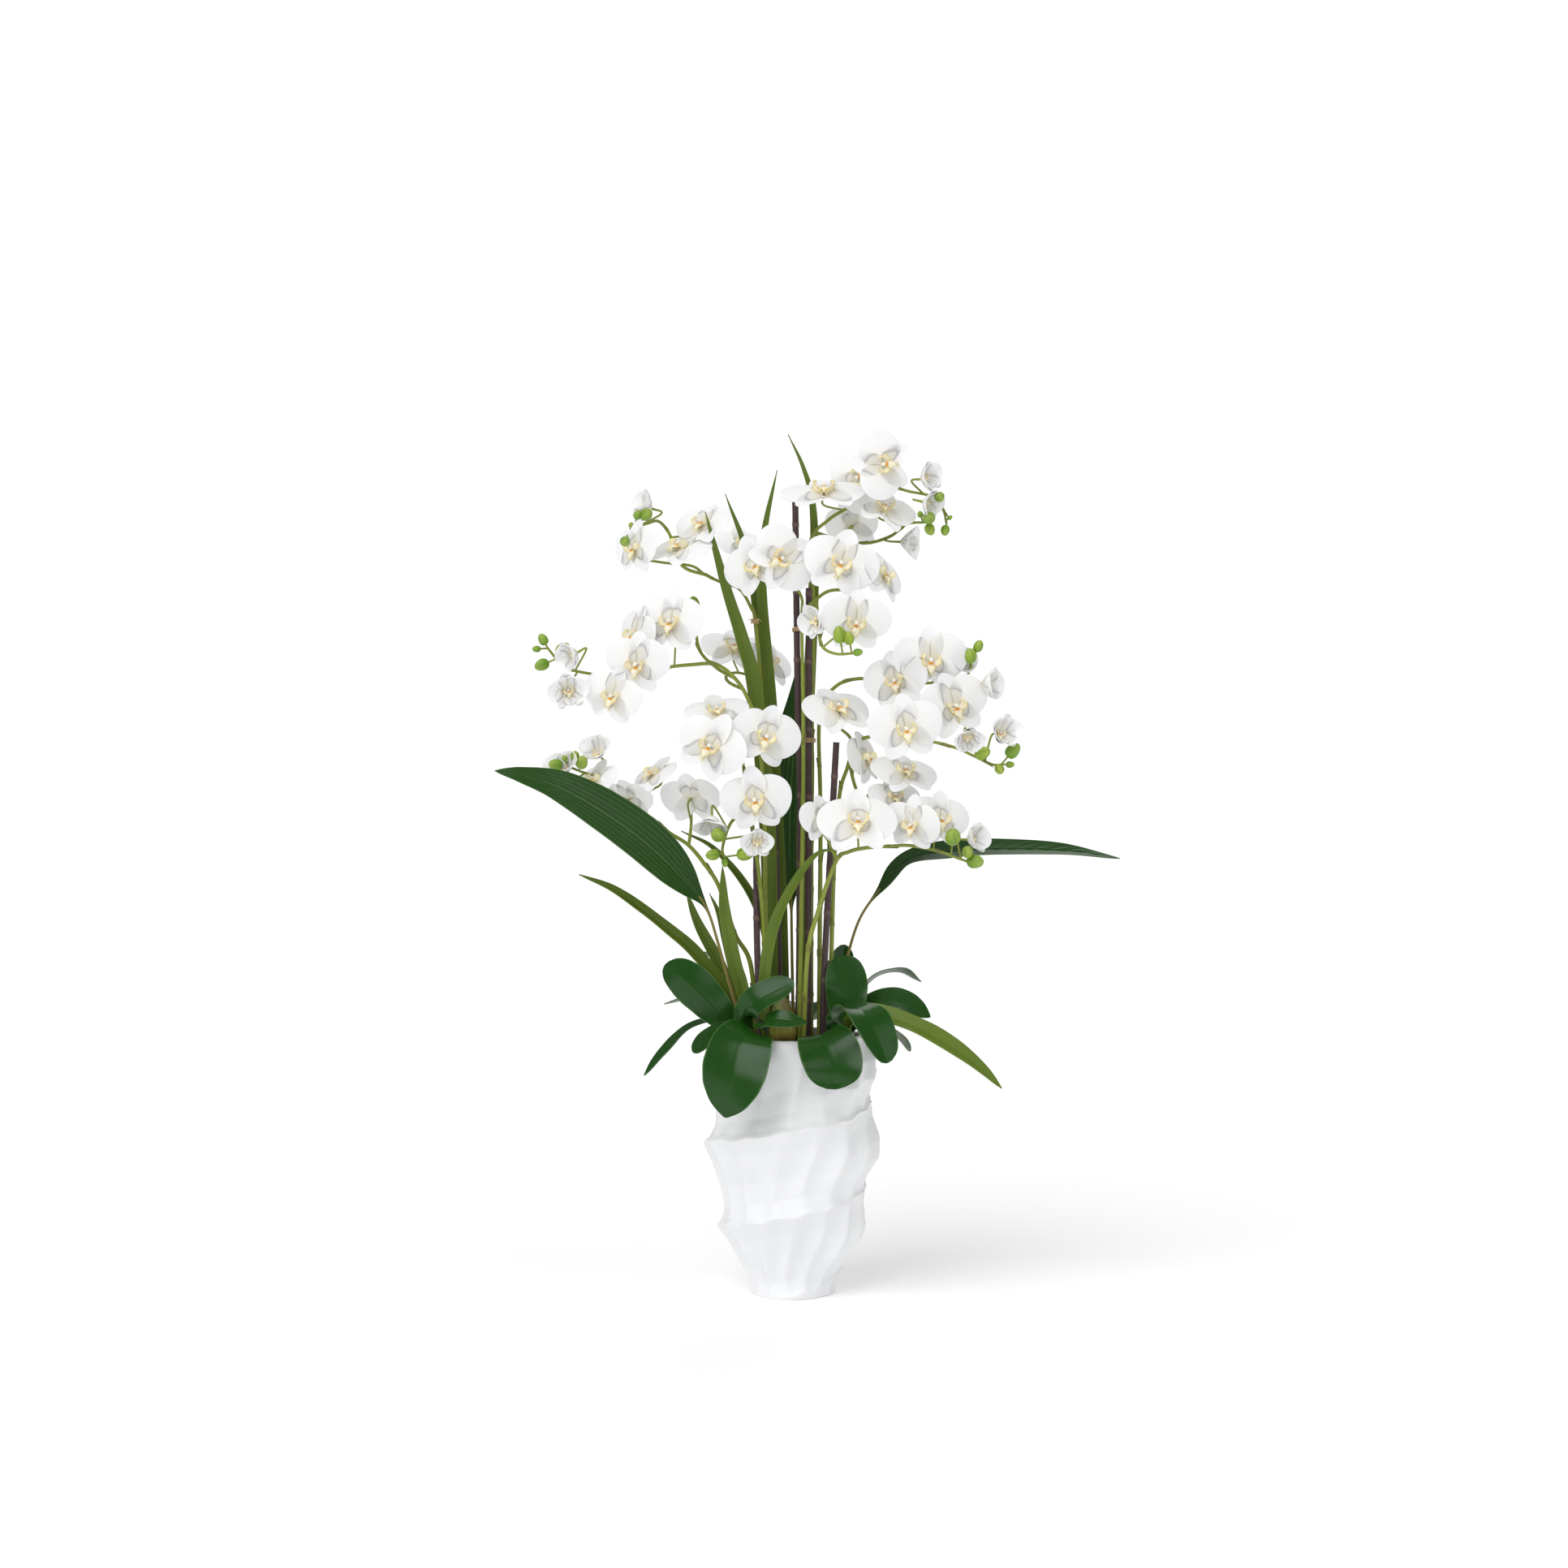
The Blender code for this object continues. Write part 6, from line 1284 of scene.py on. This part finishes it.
    mat, shader, w = new_material("flower_bud", Roughness=0.4)
    along, tint, seam, _ = w.paint()
    cloud = w.group(mottle, Vector=w.place(), Cloud_Scale=120.0, Grain_Scale=1500.0).outputs
    base = w.mix(tint, colours.bud, (0.33, 0.45, 0.03, 1.0))
    base = w.mix(w.math("MULTIPLY", w.math("POWER", along, 2.0), 0.45), base, (0.55, 0.60, 0.14, 1.0))
    base = w.tint(base, seam, 0.65, (0.05, 0.12, 0.01, 1.0))
    base = w.tint(base, cloud[0], 0.35, (0.10, 0.22, 0.012, 1.0))
    w.put(shader.inputs["Base Color"], base)
    w.put(shader.inputs["Normal"], w.bump(cloud[1], 0.25, 0.0004))
    looks["bud"] = mat

    mat, shader, w = new_material("dark_cane", Roughness=0.45)
    cloud = w.group(mottle, Vector=w.place(), Cloud_Scale=70.0, Grain_Scale=900.0).outputs
    joint = w.node("ShaderNodeAttribute", 2, {"attribute_name": "joint"})
    base = w.mix(cloud[0], colours.cane, (0.085, 0.042, 0.045, 1.0))
    base = w.tint(base, joint, 0.7, (0.16, 0.10, 0.07, 1.0))
    speck = w.group(flecks, Vector=w.place(), Scale=520.0, Size=0.26, Patchiness=0.5).outputs[0]
    base = w.tint(base, speck, 0.6, (0.26, 0.19, 0.16, 1.0))
    w.put(shader.inputs["Base Color"], base)
    w.put(shader.inputs["Roughness"], w.math("ADD", 0.32, w.math("MULTIPLY", cloud[0], 0.3)))
    w.put(shader.inputs["Normal"], w.bump(cloud[1], 0.5, 0.0006))
    looks["cane"] = mat

    mat, shader, w = new_material("raffia_strand", Roughness=0.8)
    along, tint, _, _ = w.paint()
    fibre = w.noise(w.place(), 900.0, 4.0, 0.7)
    base = w.mix(fibre, colours.raffia, (0.36, 0.22, 0.10, 1.0))
    w.put(shader.inputs["Base Color"], w.tint(base, along, 0.3, (0.75, 0.58, 0.36, 1.0)))
    w.put(shader.inputs["Normal"], w.bump(fibre, 0.7, 0.0005))
    looks["raffia"] = mat

    def leaf(name, base_colour, young, pale, under, lines, gloss, sheen_lines, relief):
        mat, shader, w = new_material(name, Roughness=gloss, Coat_Roughness=0.18, Specular_IOR_Level=0.34)
        far, tint, side, front = w.paint()
        uv, across, _ = w.surface()
        line = w.group(stripes, Vector=uv, Across=across, Lines=lines, Waver=0.35).outputs
        cloud = w.group(mottle, Vector=w.place(), Cloud_Scale=26.0, Grain_Scale=800.0).outputs
        base = w.mix(cloud[0], base_colour, young)
        base = w.tint(base, tint, 0.45, young)
        base = w.tint(base, line[0], sheen_lines, pale)
        rim = w.math("MULTIPLY", w.math("GREATER_THAN", side, 0.965), 0.55)
        base = w.mix(rim, base, pale)
        midrib = w.math("MULTIPLY", w.math("LESS_THAN", side, 0.04), sheen_lines)
        base = w.mix(midrib, base, pale)
        base = w.mix(w.math("SUBTRACT", 1.0, front), base, w.mix(cloud[0], under, young))
        stalk = w.math("LESS_THAN", far, -0.5)
        base = w.mix(stalk, base, w.mix(cloud[0], (0.16, 0.13, 0.02, 1.0), (0.24, 0.19, 0.04, 1.0)))
        w.put(shader.inputs["Base Color"], base)
        w.put(shader.inputs["Roughness"], w.math("ADD", gloss - 0.06, w.math("MULTIPLY", cloud[0], 0.16)))
        w.put(shader.inputs["Coat Weight"], w.math("MULTIPLY", front, 0.05))
        height = w.math("ADD", w.math("MULTIPLY", line[1], 0.7), w.math("MULTIPLY", cloud[1], 0.3))
        w.put(shader.inputs["Normal"], w.bump(height, relief, 0.0006))
        return mat

    looks["strap"] = leaf("strap_leaf_green", colours.strap_leaf, (0.12, 0.18, 0.012, 1.0),
                          (0.24, 0.30, 0.05, 1.0), (0.14, 0.18, 0.06, 1.0), 16.0, 0.42, 0.30, 0.35)
    looks["broad"] = leaf("broad_leaf_green", colours.broad_leaf, (0.014, 0.066, 0.005, 1.0),
                          (0.12, 0.22, 0.06, 1.0), (0.10, 0.14, 0.07, 1.0), 10.0, 0.34, 0.22, 0.25)
    looks["base"] = leaf("base_leaf_green", colours.base_leaf, (0.010, 0.066, 0.004, 1.0),
                         (0.08, 0.19, 0.04, 1.0), (0.13, 0.17, 0.11, 1.0), 22.0, 0.25, 0.05, 0.05)

    mat, shader, w = new_material("false_bulb", Roughness=0.5)
    height_share, tint, scar, _ = w.paint()
    cloud = w.group(mottle, Vector=w.place(), Cloud_Scale=50.0, Grain_Scale=700.0).outputs
    base = w.ramp(height_share,
                  [(0.0, (0.20, 0.17, 0.03)), (0.3, (0.34, 0.32, 0.05)), (0.7, (0.22, 0.26, 0.05)),
                   (1.0, (0.12, 0.17, 0.04))])
    patch = w.math("MULTIPLY", w.math("GREATER_THAN", cloud[0], 0.56), 0.6)
    base = w.mix(patch, base, (0.16, 0.07, 0.035, 1.0))
    base = w.tint(base, scar, 0.7, (0.20, 0.10, 0.05, 1.0))
    speck = w.group(flecks, Vector=w.place(), Scale=420.0, Size=0.3, Patchiness=0.5).outputs[0]
    base = w.tint(base, speck, 0.8, (0.02, 0.01, 0.006, 1.0))
    w.put(shader.inputs["Base Color"], base)
    w.put(shader.inputs["Normal"], w.bump(cloud[1], 0.6, 0.001))
    looks["bulb"] = mat

    mat, shader, w = new_material("bark_mix", Roughness=0.9)
    cloud = w.group(mottle, Vector=w.place(), Cloud_Scale=160.0, Grain_Scale=900.0).outputs
    tone = w.node("ShaderNodeAttribute", 2, {"attribute_name": "chip_tone"})
    base = w.mix(cloud[0], colours.soil, (0.045, 0.028, 0.018, 1.0))
    base = w.mix(w.math("MULTIPLY", w.math("POWER", tone, 3.0), 0.7), base, (0.14, 0.085, 0.045, 1.0))
    w.put(shader.inputs["Base Color"], base)
    w.put(shader.inputs["Normal"], w.bump(cloud[1], 0.8, 0.001))
    looks["soil"] = mat

    mat, shader, w = new_material("matt_white_glaze", Roughness=0.5)
    cloud = w.group(mottle, Vector=w.place(), Cloud_Scale=18.0, Grain_Scale=260.0).outputs
    base = w.tint(colours.pot, cloud[0], 0.6, (0.72, 0.73, 0.75, 1.0))
    dust = w.group(flecks, Vector=w.place(), Scale=180.0, Size=0.12, Patchiness=0.6).outputs[0]
    base = w.tint(base, dust, 0.35, (0.55, 0.54, 0.52, 1.0))
    w.put(shader.inputs["Base Color"], base)
    w.put(shader.inputs["Roughness"], w.math("ADD", 0.40, w.math("MULTIPLY", cloud[0], 0.18)))
    w.put(shader.inputs["Normal"],
          w.bump(w.math("ADD", cloud[0], w.math("MULTIPLY", cloud[1], 0.3)), 0.12, 0.0012))
    looks["pot"] = mat

    mat, shader, w = new_material("pale_floor", Roughness=0.9, Specular_IOR_Level=0.0,
                                  Emission_Color=(1.0, 1.0, 1.0, 1.0), Emission_Strength=0.05)
    grain = w.noise(w.place(), 3.0)
    w.put(shader.inputs["Base Color"],
          w.tint((0.985, 0.985, 0.985, 1.0), grain, 0.15, (0.96, 0.96, 0.96, 1.0)))
    looks["floor"] = mat
    return looks


# ---- settings a user may change -----------------------------------------------------
def colour_setting(name, text, default):
    return bpy.props.FloatVectorProperty(name=name, description=text, default=default, size=4, min=0.0,
                                         max=1.0, subtype="COLOR")


class OrchidColours(bpy.types.PropertyGroup):
    """Main colour of each finish."""
    petal: colour_setting("Petals", "Open petals", (0.93, 0.935, 0.95, 1.0))
    petal_vein: colour_setting("Petal veins", "Fine lines in the petals", (0.60, 0.62, 0.74, 1.0))
    lip_edge: colour_setting("Lip edge", "Rim of each flower's lip", (0.88, 0.68, 0.10, 1.0))
    lip_spot: colour_setting("Lip spots", "Stripes and spots on the lip", (0.30, 0.05, 0.07, 1.0))
    stem: colour_setting("Stems", "Flower stems", (0.26, 0.32, 0.025, 1.0))
    bud: colour_setting("Buds", "Closed buds", (0.15, 0.33, 0.012, 1.0))
    cane: colour_setting("Canes", "Dark bare canes", (0.035, 0.018, 0.022, 1.0))
    raffia: colour_setting("Raffia", "Ties", (0.60, 0.42, 0.22, 1.0))
    strap_leaf: colour_setting("Strap leaves", "Long narrow leaves", (0.055, 0.115, 0.008, 1.0))
    broad_leaf: colour_setting("Broad leaves", "Stalked leaves", (0.006, 0.038, 0.003, 1.0))
    base_leaf: colour_setting("Base leaves", "Glossy leaves at the foot", (0.007, 0.046, 0.003, 1.0))
    soil: colour_setting("Potting mix", "Bark and soil", (0.016, 0.011, 0.008, 1.0))
    pot: colour_setting("Pot", "Matt glaze", (0.86, 0.865, 0.875, 1.0))


class OrchidSizes(bpy.types.PropertyGroup):
    """Sizes of the details that stand on the solid frame."""
    joint_spacing: bpy.props.FloatProperty(name="Cane joint spacing",
                                           description="Distance between the joints of a cane", default=0.085,
                                           min=0.02, max=0.2, unit="LENGTH", subtype="DISTANCE")
    chip_size: bpy.props.FloatProperty(name="Bark chip size",
                                       description="Length of a chip in the potting mix", default=0.0065,
                                       min=0.003, max=0.02, unit="LENGTH", subtype="DISTANCE")
    chip_density: bpy.props.FloatProperty(name="Bark chips",
                                          description="Chips for each square metre of soil", default=52000.0,
                                          min=5000.0, max=120000.0)
    seed: bpy.props.IntProperty(name="Seed", description="Arrangement of the bark chips", default=3, min=0)


LOOKS = {}


def finishes(context):
    """The materials, made once from the chosen colours."""
    if not LOOKS:
        LOOKS.update(build_looks(context.scene.orchid_colours))
    return LOOKS


class ORCHID_OT_pot(bpy.types.Operator):
    """Build the sculpted pot"""
    bl_idname = "orchid.pot"
    bl_label = "Pot"
    bl_options = {"REGISTER", "UNDO"}

    def execute(self, context):
        looks = finishes(context)
        build_pot(looks["pot"])
        return {"FINISHED"}


class ORCHID_OT_potting_mix(bpy.types.Operator):
    """Build the soil bed and scatter bark chips over it"""
    bl_idname = "orchid.potting_mix"
    bl_label = "Potting mix"
    bl_options = {"REGISTER", "UNDO"}

    def execute(self, context):
        looks, sizes = finishes(context), context.scene.orchid_sizes
        rng = np.random.default_rng(5)
        shape, rings, around = Shape(), [], 72
        angles = np.arange(around) * 2 * math.pi / around
        wall = POT_MOUTH_R - POT_WALL - 0.0008
        for radius, z in ((wall * 0.8, SOIL_TOP - 0.05), (wall, SOIL_TOP - 0.04), (wall, SOIL_TOP - 0.004)):
            rings.append((np.full(around, radius), z))
        for share in (0.97, 0.85, 0.7, 0.5, 0.3, 0.1):
            rings.append((np.full(around, wall * share),
                          SOIL_TOP - 0.0045 + 0.001 * rng.uniform(-1, 1, around)))
        rings = [np.column_stack((r * np.cos(angles), r * np.sin(angles), np.broadcast_to(z, around))) for r,
                 z in rings]
        shape.rings(rings, [ring[:, :2] for ring in rings],
                    [np.tile((0, 0, 0, 1.0), (around, 1)) for _ in rings])
        settle(shape.to_object("soil_bed", looks["soil"]), "potting_mix", "potting_mix")
        disc = Shape()
        flat = [np.column_stack((r * np.cos(angles), r * np.sin(angles), np.full(around, SOIL_TOP - h)))
                for r, h in ((wall - 0.004, 0.0055), (wall - 0.004, 0.005), (0.002, 0.005))]
        disc.rings(flat, [ring[:, :2] for ring in flat], [np.tile((0, 0, 0, 1.0), (around, 1)) for _ in flat])
        start = disc.to_object("chip_bed", looks["soil"])
        inputs = {"Chips per m2": sizes.chip_density, "Chip Size": sizes.chip_size, "Seed": sizes.seed,
                  "Finish": looks["soil"]}
        settle(grown_mesh("bark_chips", start, chip_tree(), inputs, looks["soil"]), "potting_mix",
               "potting_mix")
        return {"FINISHED"}


class ORCHID_OT_bulb(bpy.types.Operator):
    """Build the ribbed bulb at the rim"""
    bl_idname = "orchid.bulb"
    bl_label = "Bulb"
    bl_options = {"REGISTER", "UNDO"}

    def execute(self, context):
        looks = finishes(context)
        build_bulb(looks["bulb"])
        return {"FINISHED"}


class ORCHID_OT_canes(bpy.types.Operator):
    """Grow the dark canes along their routes"""
    bl_idname = "orchid.canes"
    bl_label = "Canes"
    bl_options = {"REGISTER", "UNDO"}

    def execute(self, context):
        looks, sizes = finishes(context), context.scene.orchid_sizes
        tree = cane_tree()
        for name, route in CANES.items():
            path = smooth_path(rooted(route), 60)
            inputs = {"Radius": CANE_R, "Joint Spacing": sizes.joint_spacing, "Finish": looks["cane"]}
            settle(grown_mesh(name + "_jointed", curve_object(name + "_route", path), tree, inputs,
                              looks["cane"]), "cane", name)
        return {"FINISHED"}


class ORCHID_OT_ties(bpy.types.Operator):
    """Wind the raffia ties"""
    bl_idname = "orchid.ties"
    bl_label = "Raffia ties"
    bl_options = {"REGISTER", "UNDO"}

    def execute(self, context):
        looks = finishes(context)
        for name, spec in TIES.items():
            build_tie(name, spec, looks["raffia"])
        return {"FINISHED"}


class ORCHID_OT_strap_leaves(bpy.types.Operator):
    """Build the long strap leaves"""
    bl_idname = "orchid.strap_leaves"
    bl_label = "Strap leaves"
    bl_options = {"REGISTER", "UNDO"}

    def execute(self, context):
        looks = finishes(context)
        for name, spec in STRAPS.items():
            build_leaf(name, spec, STRAP_SHAPE, STRAP_FORM, looks["strap"], "strap_leaf")
        return {"FINISHED"}


class ORCHID_OT_broad_leaves(bpy.types.Operator):
    """Build the stalked broad leaves"""
    bl_idname = "orchid.broad_leaves"
    bl_label = "Broad leaves"
    bl_options = {"REGISTER", "UNDO"}

    def execute(self, context):
        looks = finishes(context)
        for name, spec in BROAD_LEAVES.items():
            build_leaf(name, spec, BROAD_SHAPE, BROAD_FORM, looks["broad"], "broad_leaf")
        return {"FINISHED"}


class ORCHID_OT_base_leaves(bpy.types.Operator):
    """Build the glossy leaves at the foot"""
    bl_idname = "orchid.base_leaves"
    bl_label = "Base leaves"
    bl_options = {"REGISTER", "UNDO"}

    def execute(self, context):
        looks = finishes(context)
        for name, spec in BASE_LEAVES.items():
            shape_of = POINTED_SHAPE if name in POINTED else BASE_SHAPE
            build_leaf(name, spec, shape_of, BASE_FORM, looks["base"], "base_leaf")
        return {"FINISHED"}


class ORCHID_OT_flower_spikes(bpy.types.Operator):
    """Grow the flower spikes with their blooms and buds"""
    bl_idname = "orchid.flower_spikes"
    bl_label = "Flower spikes"
    bl_options = {"REGISTER", "UNDO"}

    def execute(self, context):
        looks = finishes(context)
        for name, spec in SPIKES.items():
            build_spike(name, spec, looks)
        return {"FINISHED"}


class ORCHID_OT_stage(bpy.types.Operator):
    """Set the pale floor, the soft lights and the camera"""
    bl_idname = "orchid.stage"
    bl_label = "Stage"
    bl_options = {"REGISTER", "UNDO"}

    def execute(self, context):
        looks = finishes(context)
        mesh = bpy.data.meshes.new("floor")
        reach = 30.0
        mesh.from_pydata([(-reach, -reach, 0), (reach, -reach, 0), (reach, reach, 0), (-reach, reach, 0)], [],
                         [(0, 1, 2, 3)])
        mesh.materials.append(looks["floor"])
        floor = bpy.data.objects.new("floor", mesh)
        bpy.context.scene.collection.objects.link(floor)
        for name, place, soft_angle, power in (("key", (-2.2, -3.2, 3.9), 50, 1.5),
                                               ("fill", (3.4, -2.4, 2.4), 40, 0.35),
                                               ("rim", (0.8, 3.4, 3.0), 30, 0.3)):
            light = bpy.data.lights.new(name, "SUN")
            light.angle, light.energy = math.radians(soft_angle), power
            lamp = bpy.data.objects.new(name, light)
            lamp.rotation_euler = (-Vector(place)).to_track_quat("-Z", "Y").to_euler()
            bpy.context.scene.collection.objects.link(lamp)
        world = bpy.data.worlds.new("studio")
        world.use_nodes = True
        w = Wiring(world.node_tree)
        seen, in_gloss = (w.node("ShaderNodeLightPath", ray) for ray in ("Is Camera Ray", "Is Glossy Ray"))
        background = world.node_tree.nodes["Background"]
        background.inputs["Color"].default_value = (1.0, 1.0, 1.0, 1.0)
        strength = w.math("ADD", 0.56, w.math("MULTIPLY", seen, 0.48))
        w.put(background.inputs["Strength"], w.math("SUBTRACT", strength, w.math("MULTIPLY", in_gloss, 0.40)))
        bpy.context.scene.world = world
        bpy.context.scene.view_settings.view_transform = "Standard"
        data = bpy.data.cameras.new("camera")
        data.lens, data.sensor_width = 54.8, 36.0
        data.clip_end = 200.0
        camera = bpy.data.objects.new("camera", data)
        camera.location = (-0.0102, -3.0, 0.637)
        camera.rotation_euler = (math.pi / 2, 0.0, 0.0)
        bpy.context.scene.collection.objects.link(camera)
        bpy.context.scene.camera = camera
        return {"FINISHED"}


PIECES = (ORCHID_OT_pot, ORCHID_OT_potting_mix, ORCHID_OT_bulb, ORCHID_OT_canes, ORCHID_OT_ties,
          ORCHID_OT_strap_leaves, ORCHID_OT_broad_leaves, ORCHID_OT_base_leaves, ORCHID_OT_flower_spikes,
          ORCHID_OT_stage)


class ORCHID_PT_panel(bpy.types.Panel):
    """Buttons and settings of the arrangement"""
    bl_idname = "ORCHID_PT_panel"
    bl_label = "Potted orchid"
    bl_space_type = "VIEW_3D"
    bl_region_type = "UI"
    bl_category = "Orchid"

    def draw(self, context):
        for settings in (context.scene.orchid_sizes, context.scene.orchid_colours):
            for key in settings.__annotations__:
                self.layout.prop(settings, key)
        for piece in PIECES:
            self.layout.operator(piece.bl_idname)


CLASSES = (OrchidColours, OrchidSizes, *PIECES, ORCHID_PT_panel)


def register():
    for cls in CLASSES:
        bpy.utils.register_class(cls)
    bpy.types.Scene.orchid_colours = bpy.props.PointerProperty(type=OrchidColours)
    bpy.types.Scene.orchid_sizes = bpy.props.PointerProperty(type=OrchidSizes)


def unregister():
    del bpy.types.Scene.orchid_sizes
    del bpy.types.Scene.orchid_colours
    for cls in reversed(CLASSES):
        bpy.utils.unregister_class(cls)


def main():
    register()
    for piece in PIECES:
        group, action = piece.bl_idname.split(".")
        getattr(getattr(bpy.ops, group), action)()


if __name__ == "__main__":
    main()
